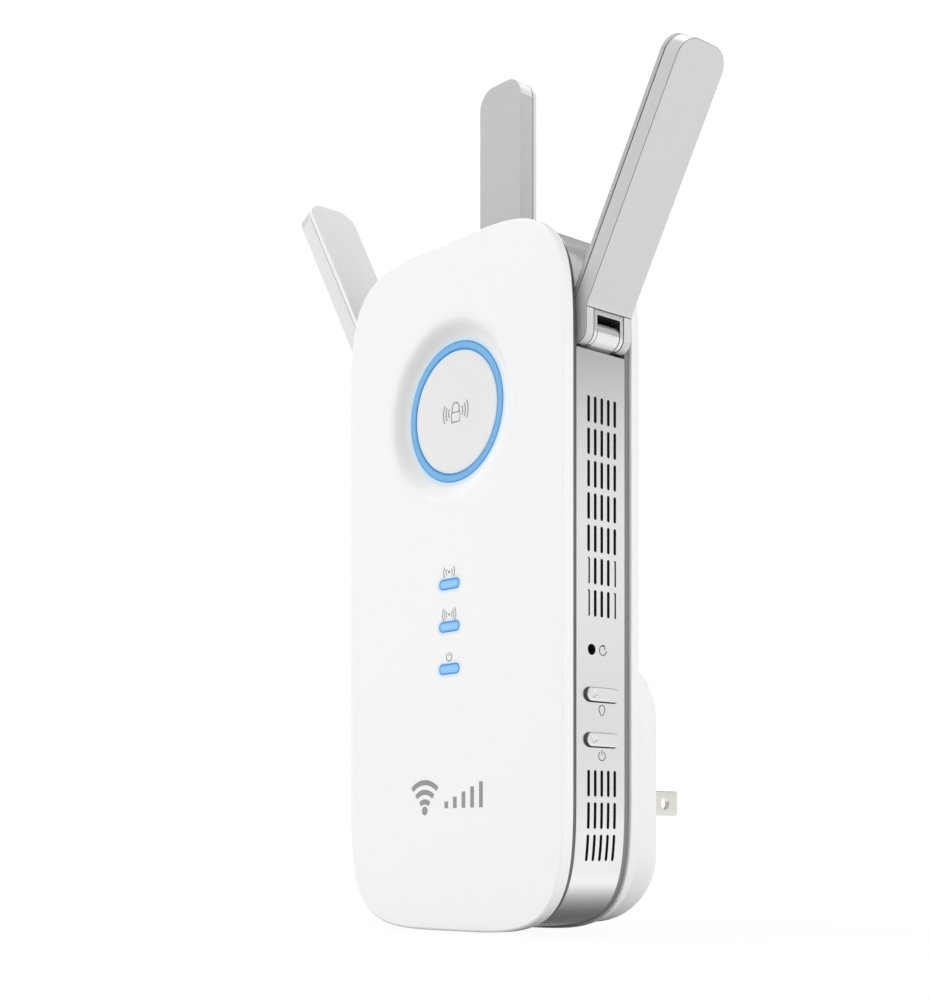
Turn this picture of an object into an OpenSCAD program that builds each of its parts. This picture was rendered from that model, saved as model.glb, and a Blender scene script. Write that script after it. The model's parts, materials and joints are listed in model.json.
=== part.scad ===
// Plug-in wifi range extender with three hinged antennas.
// Frame: origin at the centre of the wall-contact face, midway between the
// two mains blades. +X is the object's right side seen from the front, the
// front cover faces -Y, the blades point along +Y, and +Z is up.
// Most dimensions are written in body coordinates (y from the front face,
// z from the bottom of the body) and moved into the frame by in_frame().

/* [Body] */
// Width of the body
body_w = 76.4; // [76:0.1:78]
// Height of the body without antennas
body_h = 162.5; // [160:0.5:170]
// Front face to wall-contact face
body_d = 55; // [55:0.5:58]
// Exponent of the rounded corners (2 is a circle, 4 a squircle)
corner_n = 4.3; // [3.5:0.1:5]
// Thickness of the moulded walls
wall = 2; // [1.8:0.1:2.2]
// Back face of the main body, from the front face
back_y = 29.4; // [29:0.1:31]
// Fillet between the sides and the back of the rear cover
back_fillet = 8; // [6:0.5:9]

/* [Seams between the casings] */
// Rear edge of the front cover's side wall
cover_y = 3.4; // [3:0.1:3.8]
// Front edge of the metallised side band
band_y0 = 5.1; // [5:0.05:5.3]
// Rear edge of the metallised side band
band_y1 = 20.55; // [20.4:0.05:20.6]
// Rear edge of the grey rear trim
trim_y1 = 22.1; // [22:0.1:22.3]
// How far the band sits inside the cover's outline
band_inset = 1; // [0.8:0.1:1.2]

/* [Signal button and light ring] */
// Height of the button's centre above the bottom
ring_z = 122.6; // [120:0.1:124]
// Outer radius of the light ring
ring_ro = 16.55; // [16:0.05:17]
// Inner radius of the light ring
ring_ri = 14.55; // [14:0.05:15]
// Radius where the dish meets the flat front
dish_r = 22; // [20:0.5:23]
// Depth of the dish
dish_d = 2.05; // [1.8:0.05:2.1]

/* [Indicators] */
// Height of the upper indicator above the bottom
lens_z = 81.7; // [78:0.1:84]
// Distance between indicators
lens_pitch = 10; // [9:0.5:11]
// Length of an indicator
lens_w = 7.2; // [6:0.1:8]
// Height of an indicator
lens_h = 2.4; // [2:0.1:3]

/* [Side vents] */
// Width of a vent slot
slot_w = 0.7; // [0.6:0.05:0.9]
// Length of a vent slot
slot_l = 6; // [5:0.1:6.2]
// Distance between slot columns
slot_dx = 2.1; // [2:0.05:2.2]
// Distance between slot rows
slot_dz = 7.2; // [7:0.1:7.3]
// Rows in the upper block
upper_rows = 7; // [5:1:7]

/* [Side controls] */
// Centre of the side buttons across the band
btn_y = 13.1; // [12.8:0.1:13.4]
// Length of a side button
btn_l = 10.8; // [10:0.1:11]
// Height of a side button
btn_h = 3.2; // [3:0.1:3.4]
// Height of the light button's centre
led_btn_z = 53.8; // [53:0.1:55]
// Height of the power button's centre
power_btn_z = 43.7; // [43:0.1:44]
// Height of the reset hole's centre
reset_z = 63.75; // [63:0.05:65]
// Radius of the reset hole
reset_r = 1.25; // [1.2:0.05:1.4]

/* [Antennas] */
// Width of an antenna paddle
pad_w = 14.4; // [14:0.1:14.6]
// Thickness of an antenna paddle
pad_t = 5.4; // [5.2:0.1:5.5]
// Thickness of the paddle's thin half shell
pad_thin = 1.2; // [1:0.1:1.4]
// Height of the bend above the hinge
pad_bend_z = 5.1; // [5:0.1:6]
// Splay of the two side antennas in degrees
pad_splay = 30; // [20:1:34]
// Length of a paddle above its bend
pad_l = 57.3; // [50:0.1:60]
// Radius of the paddle's tip corners
pad_r = 4.6; // [3:0.1:6]
// Radius of the hinge pin
pin_r = 1; // [0.9:0.05:1.1]

/* [Mains plug] */
// Height of the blades' centre above the bottom
blade_z = 31.2; // [30:0.1:33]
// Distance between the blades' centres
blade_pitch = 12.7; // [12.7:0.1:12.7]
// Thickness of a blade
blade_t = 1.5; // [1.4:0.05:1.6]
// Height of a blade
blade_h = 6.35; // [6.2:0.05:6.5]
// Length of a blade beyond the wall face
blade_l = 17.5; // [15.9:0.1:18.2]
// Radius of the hole in a blade
blade_hole_r = 1.6; // [1.5:0.05:2]

/* [Hidden] */
$fn = 48;
eps = 0.01;
half_w = body_w / 2;
corner_steps = 12;
band_wall = 1.8;
// Front and rear faces of the main board
pcb_y0 = 6.0;
pcb_y1 = 7.6;
// Plug housing behind the body
housing_half_w = 22.3;
housing_z0 = 1.2;
housing_z1 = 68.5;
housing_r = 17;
housing_fillet = 12;
housing_steps = 7;
// Side antenna hinge, on the right
hinge_x = 37.05;
hinge_y = 12.7;
hinge_z = 134;
// Top antenna hinge
top_y = 18.95;
top_z = 142;
// Notch behind the top antenna's hinge, and half width of the slots for the arms
notch_half_w = 7.6;
notch_y0 = 15.8;
arm_slot_half_w = 3.75;
// Screw places as [x, z]
case_screw_at = [[27.5, 17], [-27.5, 17], [26, 146], [-26, 146]];
board_screw_at = [[24, 74], [-24, 74], [26, 128.5], [-26, 128.5]];
pillar_r = 3;
pillar_y1 = trim_y1 - 0.1;

// Colours shared by several nodes
white = [0.95, 0.95, 0.955];
steel = [0.7, 0.7, 0.72];
shield_metal = [0.75, 0.75, 0.77];
board_green = [0.1, 0.35, 0.2];
led_white = [0.9, 0.95, 1];
side_outer_grey = [0.83, 0.83, 0.84];
side_yoke_grey = [0.84, 0.84, 0.85];
mid_grey = [0.8, 0.8, 0.81];
top_shell_grey = [0.78, 0.78, 0.79];
knuckle_grey = [0.72, 0.72, 0.74];

// ---------- outlines ----------

function signed_pow(v, n) = sign(v) * pow(abs(v), n);

// Point of a unit superellipse
function superellipse_pt(angle) = let(
    c = cos(angle),
    s = sin(angle),
    reach = pow(pow(abs(c), corner_n) + pow(abs(s), corner_n), -1 / corner_n))
  [c * reach, s * reach];

// The same point on a corner of radius r, moved inward along its normal
function corner_pt(angle, r, inset) = let(
    unit = superellipse_pt(angle),
    normal = [signed_pow(unit[0], corner_n - 1), signed_pow(unit[1], corner_n - 1)])
  r * unit - inset * normal / norm(normal);

// Outline of the body, seen along Y; neighbouring corners share an end point
function outline(inset) = [
  for (q = [0:3]) for (i = [q % 2:corner_steps])
    corner_pt(90 * q + 90 * i / corner_steps, half_w, inset)
      + [0, q < 2 ? body_h - half_w : half_w]
];

// Rounded rectangle of the plug housing
function housing_outline(inset) = let(
    r = max(housing_r - inset, 2),
    mid_z = (housing_z0 + housing_z1) / 2,
    half_h = (housing_z1 - housing_z0) / 2)
  [
    for (q = [0:3]) for (i = [0:housing_steps]) let(
        angle = 90 * q + 90 * i / housing_steps,
        side_x = (q == 0 || q == 3) ? 1 : -1,
        side_z = (q < 2) ? 1 : -1)
      [side_x * (housing_half_w - inset - r), mid_z + side_z * (half_h - inset - r)]
        + r * [cos(angle), sin(angle)]
  ];

// ---------- helpers ----------

module in_frame() translate([0, -body_d, -blade_z]) children();

// A shape drawn in X and Z, given thickness from y0 to y1
module slab(y0, y1)
  translate([0, y1, 0]) rotate([90, 0, 0]) linear_extrude(height = y1 - y0) children();

// Rod along Y at [x, z]
module rod_y(at, y0, y1, r)
  translate([at[0], y0, at[1]]) rotate([-90, 0, 0]) cylinder(r = r, h = y1 - y0);

// Rod along X at [y, z]
module rod_x(at, x0, x1, r)
  translate([x0, at[0], at[1]]) rotate([0, 90, 0]) cylinder(r = r, h = x1 - x0);

// A box between its lowest and highest corners
module block(low, high) translate(low) cube(high - low);

// Turned around the signal button's axis: points are [radius, y]
module turned(pts)
  translate([0, 0, ring_z]) rotate([-90, 0, 0]) rotate_extrude($fn = 96) polygon(pts);

module disc(y0, y1, r) turned([[0, y0], [r, y0], [r, y1], [0, y1]]);

module pill2d(w, h) {
  square([w - h, h], center = true);
  for (s = [-1, 1]) translate([s * (w - h) / 2, 0]) circle(d = h);
}

// Ring between two insets of the body's outline
module ring2d(outer, inner) difference() {
  polygon(outline(outer));
  polygon(outline(inner));
}

// Cross-head screws pointing forward; shank and head are [y0, y1, radius],
// cross is [y0, y1, half length, half width]
module screws(places, shank, head, cross) for (p = places) difference() {
  union() {
    rod_y(p, shank[0], shank[1], shank[2]);
    rod_y(p, head[0], head[1], head[2]);
  }
  for (a = [0, 90]) translate([p[0], 0, p[1]]) rotate([0, a, 0])
    block([-cross[2], cross[0], -cross[3]], [cross[2], cross[1], cross[3]]);
}

// Cut for the top antenna, open at the top
module top_notch(y1, z0) block([-notch_half_w, notch_y0, z0], [notch_half_w, y1, 170]);

// ---------- front ----------

edge_step = 0.3;
edge_inset = 0.45;
pad_disc_y = 1.9;
pad_disc_r = 24;
standoff_r = 2.4;
dish_floor_r = 17.2;
dish_steps = 9;
ring_hole_r = ring_ro + 0.1;
signal_r = ring_ri - 0.1;

function lens_height(i) = lens_z - i * lens_pitch;

module cover_lip2d() ring2d(3.2, 4.6);

module front_cover() color([0.96, 0.96, 0.965]) in_frame() difference() {
  union() {
    slab(0, edge_step) polygon(outline(edge_inset));
    slab(edge_step, cover_y) polygon(outline(0));
    slab(cover_y - eps, band_y0) cover_lip2d();
    disc(pad_disc_y, 4, pad_disc_r);
    for (p = board_screw_at) rod_y(p, pad_disc_y, pcb_y0 - 0.05, standoff_r);
  }
  // hollow that leaves the lip, the disc behind the dish and the standoffs
  difference() {
    slab(wall, cover_y + 0.01) polygon(outline(wall));
    slab(wall - 1, cover_y + 1) cover_lip2d();
    disc(1, 4, pad_disc_r);
    for (p = board_screw_at) rod_y(p, 1, 30, standoff_r);
  }
  for (p = case_screw_at) rod_y(p, wall, 30, pillar_r + 0.05);
  // smooth dish down to the light ring
  turned(concat(
    [[0, -1], [dish_r, -1]],
    [for (i = [0:dish_steps]) let(t = i / dish_steps)
      [dish_r - t * (dish_r - dish_floor_r), dish_d * (1 - cos(180 * t)) / 2]],
    [[ring_hole_r, dish_d], [0, dish_d]]));
  disc(dish_d - 0.5, 5, ring_hole_r);
  for (i = [0:2]) translate([0, 0, lens_height(i)]) slab(-1, 3) pill2d(lens_w + 0.1, lens_h + 0.1);
  for (p = board_screw_at) rod_y(p, 2.6, 30, 1);
}

// Pillars behind the cover that take the case screws
module case_pillars() color([0.9, 0.9, 0.9]) in_frame() for (p = case_screw_at) difference() {
  rod_y(p, wall, pillar_y1, pillar_r);
  rod_y(p, 11, 30, 1.3);
}

module front_trim() color([0.38, 0.38, 0.4]) in_frame() slab(cover_y, band_y0) ring2d(1.2, 3.1);

// Cap with a rear flange and a central stem
module signal_button() color(white) in_frame() turned([
  [0, dish_d], [14.2, dish_d], [signal_r, dish_d + 0.25], [signal_r, 3.5], [15.6, 3.5],
  [15.6, 4.1], [13.2, 4.1], [13.2, 3.25], [2.4, 3.25], [2.4, 4.4], [0, 4.4]
]);

module led_ring() color([0.5, 0.75, 0.95]) in_frame() turned([
  [ring_ri, dish_d], [ring_ro, dish_d], [ring_ro, 4.05], [18.4, 4.05],
  [18.4, 4.9], [15.75, 4.9], [15.75, 3.4], [ring_ri, 3.4]
]);

// Lens with a collar behind the cover and a light guide behind that
module lens(i) color([0.55, 0.75, 0.92]) in_frame() translate([0, 0, lens_height(i)]) {
  collar_y0 = 2.05;
  collar_y1 = 2.9;
  slab(0.1, collar_y0) pill2d(lens_w, lens_h);
  slab(collar_y0, collar_y1) pill2d(lens_w + 1.4, lens_h + 1.4);
  slab(collar_y1, 4.9) square([5, 1.6], center = true);
}
module indicator_lens_upper() lens(0);
module indicator_lens_middle() lens(1);
module indicator_lens_lower() lens(2);

module light_baffle() color([0.1, 0.1, 0.1]) in_frame() difference() {
  block([-6.5, 2.95, lens_height(2) - 3.6], [6.5, pcb_y0, lens_z + 3.6]);
  for (i = [0:2]) block([-2.8, 2, lens_height(i) - 1.1], [2.8, 7, lens_height(i) + 1.1]);
}

// ---------- side band and controls ----------

// Recess in the band for the side antennas
recess_x = 34;
recess_z = 130.4;
recess_inner_z = 127.5;
// Front column and top of the two blocks of vents
vent_y = 8.84;
upper_vent_z = 120.3;
lower_vent_z = 36.9;
// y of the side switches' actuators
press_y = 9.8;
// Network socket body and the play around it
jack_y0 = 7.7;
jack_y1 = 19.7;
jack_z0 = 22.5;
jack_z1 = 38.5;
jack_gap = 0.1;

// Slot of one column, cut from x0 outward
module vent(column, top, x0) {
  y = vent_y + column * slot_dx;
  block([x0, y - slot_w / 2, top - slot_l], [40, y + slot_w / 2, top]);
}

// The end slots of the two lowest rows are blind
module upper_vents() for (r = [0:upper_rows - 1]) for (c = [0:4])
  let(blind = r >= upper_rows - 2 && (c == 0 || c == 4))
    vent(c, upper_vent_z - slot_dz * r, blind ? 36.95 : 33);

module lower_vents() for (r = [0:2]) for (c = [0:4]) vent(c, lower_vent_z - slot_dz * r, 32);

// Rectangles outward of x and up from z, on both sides
module recess2d(x, z) for (s = [-1, 1])
  translate([s * (x + 4), z + 20]) square([8, 40], center = true);

// Side button's outline, widened by grow and drawn out from x0 along X
module side_pill(z, x0, length, grow)
  translate([x0, btn_y, z]) rotate([0, 90, 0]) linear_extrude(height = length)
    rotate([0, 0, 90]) pill2d(btn_l + grow, btn_h + grow);

module side_band() color([0.82, 0.82, 0.83]) in_frame() difference() {
  slab(band_y0, band_y1) difference() {
    polygon(outline(band_inset));
    recess2d(recess_x, recess_z);
    difference() {
      polygon(outline(band_inset + band_wall));
      recess2d(recess_x - band_wall, recess_inner_z);
    }
  }
  upper_vents();
  lower_vents();
  mirror([1, 0, 0]) upper_vents();
  // slots for the antenna arms
  for (s = [-1, 1]) block(
    [min(s * 30, s * 36), hinge_y - arm_slot_half_w, recess_z - 0.15],
    [max(s * 30, s * 36), hinge_y + arm_slot_half_w, 136.8]);
  top_notch(30, 150);
  // light and power buttons, and the reset hole
  for (z = [led_btn_z, power_btn_z]) side_pill(z, 33, 8, 0.3);
  rod_x([press_y, reset_z], 33, 40, reset_r);
  // network socket
  block([-42, jack_y0 - jack_gap, jack_z0 - jack_gap], [-30, jack_y1 + jack_gap, jack_z1 + jack_gap]);
}

// Button with a flange inside the band and a stem to its switch
module side_button(z) color([0.85, 0.85, 0.86]) in_frame() difference() {
  union() {
    side_pill(z, 35.2, 2.5, 0);
    side_pill(z, 34.2, 1.1, 1.6);
    rod_x([press_y, z], 31.5, 35, 1.2);
  }
  // round finger mark near the front end
  rod_x([9.9, z], 37.5, 38.5, 0.9);
}
module led_button() side_button(led_btn_z);
module power_button() side_button(power_btn_z);

module reset_plunger() color([0.15, 0.15, 0.15]) in_frame()
  rod_x([press_y, reset_z], 31.5, 33.6, 0.9);

module side_switches() color([0.2, 0.2, 0.22]) in_frame() {
  for (z = [led_btn_z, power_btn_z, reset_z]) block([26, pcb_y1, z - 3], [30.4, 12, z + 3]);
  for (z = [led_btn_z, power_btn_z]) rod_x([press_y, z], 30.3, 30.9, 0.8);
  // socket for the reset plunger
  difference() {
    rod_x([press_y, reset_z], 30.3, 32.4, 1.6);
    rod_x([press_y, reset_z], 31, 33, 0.95);
  }
}

module signal_switch() color([0.75, 0.75, 0.76]) in_frame() {
  block([-2.6, 5.2, ring_z - 2.6], [2.6, pcb_y0, ring_z + 2.6]);
  rod_y([0, ring_z], 4.95, 5.3, 1);
}

// ---------- rear ----------

// Half size and corner radius of the plug insert
insert_half_w = 9.4;
insert_half_h = 10.2;
insert_r = 4;

module rear_trim() color([0.5, 0.5, 0.52]) in_frame() difference() {
  slab(band_y1, trim_y1) ring2d(band_inset, band_inset + band_wall);
  top_notch(30, 150);
}

// Solid of the body behind the trim, inset from its outer skin
module back_solid(inset) hull() {
  slab(trim_y1 - (inset > 0 ? 2 : 0), trim_y1 + 0.1) polygon(outline(0.4 + inset));
  for (i = [1:6]) let(a = 15 * i, r = back_fillet - inset)
    slab(trim_y1, back_y - back_fillet + r * sin(a))
      polygon(outline(0.4 + inset + r * (1 - cos(a))));
}

// Solid of the plug housing, inset from its outer skin
module housing_solid(inset) hull() {
  slab(24, body_d - housing_fillet) polygon(housing_outline(inset));
  for (i = [1:6]) let(a = 15 * i, r = housing_fillet - inset)
    slab(40, body_d - housing_fillet + r * sin(a))
      polygon(housing_outline(inset + r * (1 - cos(a))));
}

module rear_cover() color(white) in_frame() difference() {
  union() {
    difference() {
      union() {
        back_solid(0);
        housing_solid(0);
      }
      back_solid(wall);
      housing_solid(wall);
    }
    // locating lip inside the trim
    slab(band_y1 + 0.05, trim_y1 + 0.5) ring2d(2.9, 4.3);
    for (p = case_screw_at) rod_y(p, pillar_y1 + 0.05, back_y - 1, 3.6);
    // well for the top antenna
    intersection() {
      block([-9.1, 14.3, 135.7], [9.1, back_y + 1, 163]);
      union() {
        back_solid(0);
        slab(10, trim_y1 + 0.05) polygon(outline(3.4));
      }
    }
    // posts that hold the power board
    for (s = [-1, 1]) rod_y([s * 15.5, blade_z], power_y1 + 0.05, 52, 1.8);
  }
  top_notch(40, 137.2);
  block([-arm_slot_half_w, 10, 137.3], [arm_slot_half_w, 17, 144.8]);
  // screw holes with recesses for the heads
  for (p = case_screw_at) {
    rod_y(p, 20, 40, 1.4);
    rod_y(p, 25, 40, 2.6);
  }
  // opening for the plug insert
  translate([0, 0, blade_z]) slab(45, 60) insert2d(0.05);
  // cooling slots in the back
  for (i = [-4:4]) block([i * 4 - 0.6, 20, 96], [i * 4 + 0.6, 40, 110]);
}

// Rounded rectangle of the plug insert, larger by grow on every side
module insert2d(grow) {
  a = insert_half_w + grow;
  b = insert_half_h + grow;
  square([2 * a - 2 * insert_r, 2 * b], center = true);
  square([2 * a, 2 * b - 2 * insert_r], center = true);
  for (x = [-1, 1], z = [-1, 1]) translate([x * (a - insert_r), z * (b - insert_r)])
    circle(r = insert_r);
}

module plug_base() color([0.93, 0.93, 0.93]) in_frame() difference() {
  slot_half_t = blade_t / 2 + 0.03;
  slot_half_h = blade_h / 2 + 0.03;
  translate([0, 0, blade_z]) union() {
    slab(50, body_d) insert2d(0);
    // flange behind the opening's rim
    slab(46, 52.9) insert2d(1.6);
  }
  for (s = [-1, 1]) let(x = s * blade_pitch / 2) block(
    [x - slot_half_t, 40, blade_z - slot_half_h],
    [x + slot_half_t, 60, blade_z + slot_half_h]);
}

module blade(side) color([0.8, 0.79, 0.76]) in_frame() difference() {
  tip_y = body_d + blade_l;
  translate([side * blade_pitch / 2, 0, blade_z]) difference() {
    block([-blade_t / 2, 42, -blade_h / 2], [blade_t / 2, tip_y, blade_h / 2]);
    // bevelled tip
    for (m = [0, 1]) mirror([m, 0, 0]) translate([blade_t / 2, tip_y, 0]) rotate([0, 0, 45])
      cube([0.7, 0.7, 10], center = true);
  }
  rod_x([tip_y - 4.7, blade_z], -10, 10, blade_hole_r);
}
module plug_blade_left() blade(-1);
module plug_blade_right() blade(1);

module case_screws() color([0.6, 0.6, 0.62]) in_frame() screws(case_screw_at,
  shank = [13, 25.5, 1.25], head = [25, 26.8, 2.3], cross = [26, 28, 1.3, 0.25]);

// ---------- electronics ----------

shield_y1 = pcb_y1 + 3;
shield_z0 = 86;
shield_z1 = 120;
shield_wall = 0.5;
sink_y0 = 11.4;
sink_y1 = 13.4;
sink_half_w = 27;
fin_pitch = 5.28;
fin_t = 1.2;
// Parts on the rear of the main board: x0, z0, x1, z1, height
chips = [
  [-19, 96, -5, 110, 1.2],
  [10, 97, 20, 107, 1],
  [-20, 66, -10, 78, 1.1],
  [2, 70, 8, 75, 1.6],
  [-13, 24, -3, 38, 4.5]
];
// Antenna sockets on the main board
coax_x = 20;
coax_z = 126;
top_coax_z = 130;
cable_r = 0.6;

module main_board() color([0.05, 0.3, 0.15]) in_frame() difference() {
  slab(pcb_y0, pcb_y1) polygon(outline(6.6));
  for (p = case_screw_at) rod_y(p, 0, 20, pillar_r + 0.4);
  for (p = board_screw_at) rod_y(p, 0, 20, 1.1);
}

// Shielding can, open towards the board
module can(x0, x1) difference() {
  block([x0, pcb_y1, shield_z0], [x1, shield_y1, shield_z1]);
  block(
    [x0 + shield_wall, pcb_y1 - 1, shield_z0 + shield_wall],
    [x1 - shield_wall, shield_y1 - shield_wall, shield_z1 - shield_wall]);
}
module cpu_shield() color(shield_metal) in_frame() can(-26, 1);
module radio_shield() color(shield_metal) in_frame() can(4, 26);

module thermal_pad() color([0.55, 0.6, 0.75]) in_frame()
  for (span = [[-20, -4], [8, 22]]) block([span[0], shield_y1, 94], [span[1], sink_y0, 112]);

module heat_sink() color(steel) in_frame() {
  block([-sink_half_w, sink_y0, shield_z0], [sink_half_w, sink_y1, shield_z1]);
  for (i = [0:10]) let(x = -sink_half_w + i * fin_pitch)
    block([x, sink_y1 - eps, shield_z0], [x + fin_t, 19, shield_z1]);
}

module board_chips() color([0.12, 0.12, 0.13]) in_frame()
  for (c = chips) block([c[0], pcb_y1, c[1]], [c[2], pcb_y1 + c[4], c[3]]);

module indicator_leds() color(led_white) in_frame() for (i = [0:2])
  block([-0.8, 5.3, lens_height(i) - 0.4], [0.8, pcb_y0, lens_height(i) + 0.4]);

module ring_leds() color(led_white) in_frame() for (i = [0:7]) let(a = 22.5 + 45 * i, r = 16.6)
  translate([r * cos(a), 0, ring_z + r * sin(a)]) block([-0.6, 5.2, -0.6], [0.6, pcb_y0, 0.6]);

module ethernet_jack() color([0.14, 0.14, 0.15]) in_frame() difference() {
  block([-37.1, jack_y0, jack_z0], [-16, jack_y1, jack_z1]);
  // plug cavity and the channel for its latch
  block([-40, 9.6, 24.6], [-22.5, 17.9, 36.4]);
  block([-40, 17.8, 28], [-22.5, 19.1, 33]);
}

module ethernet_contacts() color([0.85, 0.7, 0.3]) in_frame() for (i = [0:7])
  let(z = 26.8 + i * 1.02) block([-34, 9.6, z], [-22.5, 9.95, z + 0.45]);

module coax_sockets() color([0.85, 0.75, 0.4]) in_frame()
  for (p = [[-coax_x, coax_z], [coax_x, coax_z], [0, top_coax_z]]) difference() {
    rod_y(p, pcb_y1, 9.2, 1.5);
    rod_y(p, 8.6, 10, 1.1);
  }

// Straight run of cable from one point to another
module run(start, end) {
  d = end - start;
  length = norm(d);
  translate(start) rotate([0, acos(d[2] / length), atan2(d[1], d[0])])
    cylinder(r = cable_r, h = length);
}

// A cable as straight runs with a bead at each bend
module cable(pts) {
  for (i = [0:len(pts) - 2]) run(pts[i], pts[i + 1]);
  for (i = [1:len(pts) - 2]) translate(pts[i]) sphere(r = cable_r + 0.15);
}

module coax_cables() color([0.2, 0.2, 0.2]) in_frame() {
  start_y = 8.7;
  top_run_y = 11.3;
  top_end_z = 141;
  for (s = [-1, 1]) cable([
    [s * coax_x, start_y, coax_z], [s * coax_x, hinge_y, coax_z],
    [s * coax_x, hinge_y, hinge_z], [s * 30.5, hinge_y, hinge_z]
  ]);
  cable([
    [0, start_y, top_coax_z], [0, top_run_y, top_coax_z],
    [0, top_run_y, top_end_z], [0, 12.4, top_end_z]
  ]);
}

module board_screws() color(steel) in_frame() screws(board_screw_at,
  shank = [3, 8, 0.95], head = [pcb_y1, 9, 1.9], cross = [8.4, 10, 1.1, 0.2]);

// ---------- mains power ----------

// Front and rear faces of the power board
power_y0 = 31;
power_y1 = 32.6;
// Capacitors: x, z, rear end, radius
capacitors = [[11, 55, 46, 5], [13.6, 43.5, 46, 4], [13, 14, 44, 4]];
wire_at = [[-2, 61], [2, 61]];

module power_board() color(board_green) in_frame()
  slab(power_y0, power_y1) polygon(housing_outline(4));

// Foot, winding and core
module power_transformer() color([0.85, 0.75, 0.35]) in_frame() {
  block([-15, power_y1, 44], [1, 34, 62]);
  block([-13, 33.9, 46], [-1, 46, 60]);
  block([-16, 36, 49], [2, 44, 57]);
}

module power_capacitors() color([0.15, 0.2, 0.35]) in_frame()
  for (c = capacitors) rod_y([c[0], c[1]], power_y1, c[2], c[3]);

module line_choke() color([0.6, 0.35, 0.15]) in_frame() translate([0, 35.1, 14])
  rotate([-90, 0, 0]) rotate_extrude() translate([4.6, 0]) circle(r = 2.2, $fn = 24);

// Upright tube on two leads
module fuse() color([0.85, 0.82, 0.75]) in_frame() {
  fuse_x = -13.5;
  translate([fuse_x, 35.3, 11]) cylinder(r = 2.3, h = 12);
  for (z = [13, 21]) rod_y([fuse_x, z], power_y1, power_y1 + 2.5, 0.4);
}

module dc_wires() color([0.7, 0.1, 0.1]) in_frame()
  for (p = wire_at) rod_y(p, pcb_y1, power_y0, 0.7);

module insulating_sheet() color([0.9, 0.9, 0.85]) in_frame() difference() {
  slab(29, 29.4) polygon(housing_outline(2.6));
  for (p = wire_at) rod_y(p, 20, 40, 1);
}

// Strips along the blades' outward faces
module blade_contacts() color([0.8, 0.6, 0.3]) in_frame() for (m = [0, 1]) mirror([m, 0, 0])
  let(x = blade_pitch / 2 + blade_t / 2)
    block([x, power_y1, blade_z - 2.2], [x + 0.6, 45.8, blade_z + 2.2]);

// ---------- antennas ----------
// Local frame: origin on the hinge axis, which runs along Y; the thick
// shell is on the +X side, Z runs up the paddle.

half_t = pad_t / 2;
pin_l = 12.8;
shell_wall = 1;
yoke_w = 9.5;
yoke_inner_half_w = 3.65;
arm_w = 7.1;
tip_steps = 8;

// Points of the side profile at a depth from the thin side
function bend_pt(depth, splay) =
  [-half_t + depth, pad_bend_z + (pad_t - depth) * tan(splay / 2)];
function tip_pt(depth, splay) = bend_pt(depth, splay)
  + [sin(splay), cos(splay)] * (pad_l + (pad_t - depth) * tan(splay / 2));

// Side profile between two depths, from height z0
function profile(depth0, depth1, splay, z0) = [
  [-half_t + depth0, z0], bend_pt(depth0, splay), tip_pt(depth0, splay),
  tip_pt(depth1, splay), bend_pt(depth1, splay), [-half_t + depth1, z0]
];

module axle(r, length) rotate([90, 0, 0]) cylinder(r = r, h = length, center = true);

// Frame of the splayed part: z runs along it, its thick shell's face is at x = 0
module upper(splay) translate([half_t, 0, pad_bend_z]) rotate([0, splay, 0]) children();

// What is cut away to round the two corners of the tip; the arc's end
// points are pushed out along its first and last chords
module tip_corners(splay) upper(splay) for (m = [0, 1]) mirror([0, m, 0])
  translate([-20, 0, 0]) rotate([90, 0, 90]) linear_extrude(height = 40) let(
    n = tip_steps,
    centre = [pad_w / 2 - pad_r, pad_l - pad_r],
    arc = [for (i = [0:n]) centre + pad_r * [cos(90 / n * i), sin(90 / n * i)]],
    first = 2 * arc[0] - arc[1],
    last = 2 * arc[n] - arc[n - 1],
    far_x = pad_w / 2 + 5,
    far_z = pad_l + 5)
  polygon(concat([[far_x, first[1]], first], [for (i = [1:n - 1]) arc[i]],
    [last, [last[0], far_z], [far_x, far_z]]));

module antenna_outer(splay) difference() {
  union() {
    slab(-pad_w / 2, pad_w / 2) union() {
      polygon(profile(pad_thin, pad_t, splay, 0));
      translate([-half_t, 0]) square([pad_thin + eps, 5]);
    }
    axle(half_t, pad_w);
  }
  tip_corners(splay);
  // room for the yoke and the body's arm
  block([-5, -4.8, -6], [5, 4.8, 4.85]);
  axle(pin_r + 0.02, pin_l + 0.1);
  // hollow behind the thin shell
  upper(splay) block(
    [-pad_t + pad_thin - 1, -pad_w / 2 + 1.2, 3.2],
    [-shell_wall, pad_w / 2 - 1.2, pad_l - 2.8]);
}

module antenna_inner(splay) difference() {
  slab(-pad_w / 2, pad_w / 2) polygon(profile(0, pad_thin, splay, 5));
  tip_corners(splay);
}

module antenna_yoke() difference() {
  union() {
    block([-half_t, -yoke_w / 2, 0], [half_t, yoke_w / 2, 4.8]);
    axle(half_t, yoke_w);
  }
  block([-5, -yoke_inner_half_w, -6], [5, yoke_inner_half_w, 3.6]);
  axle(pin_r + 0.02, 30);
}

module antenna_radiator(splay) upper(splay)
  block([-pad_t + pad_thin, -4.8, 5], [-pad_t + pad_thin + 0.8, 4.8, 50]);

module antenna_pin() axle(pin_r, pin_l);

// Arm of the body that carries the hinge; it leaves towards -X and ends in a plate
module knuckle() difference() {
  union() {
    axle(2.6, arm_w);
    slab(-arm_w / 2, arm_w / 2) polygon([
      [0.9, -2.42], [-1.1, -3.4], [-6.4, -3.4], [-6.4, 2], [-1.2, 2.2], [0, 1]
    ]);
    block([-6.45, -4.9, -5.6], [-4.95, 4.9, 4]);
  }
  axle(pin_r + 0.05, 30);
}

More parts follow.
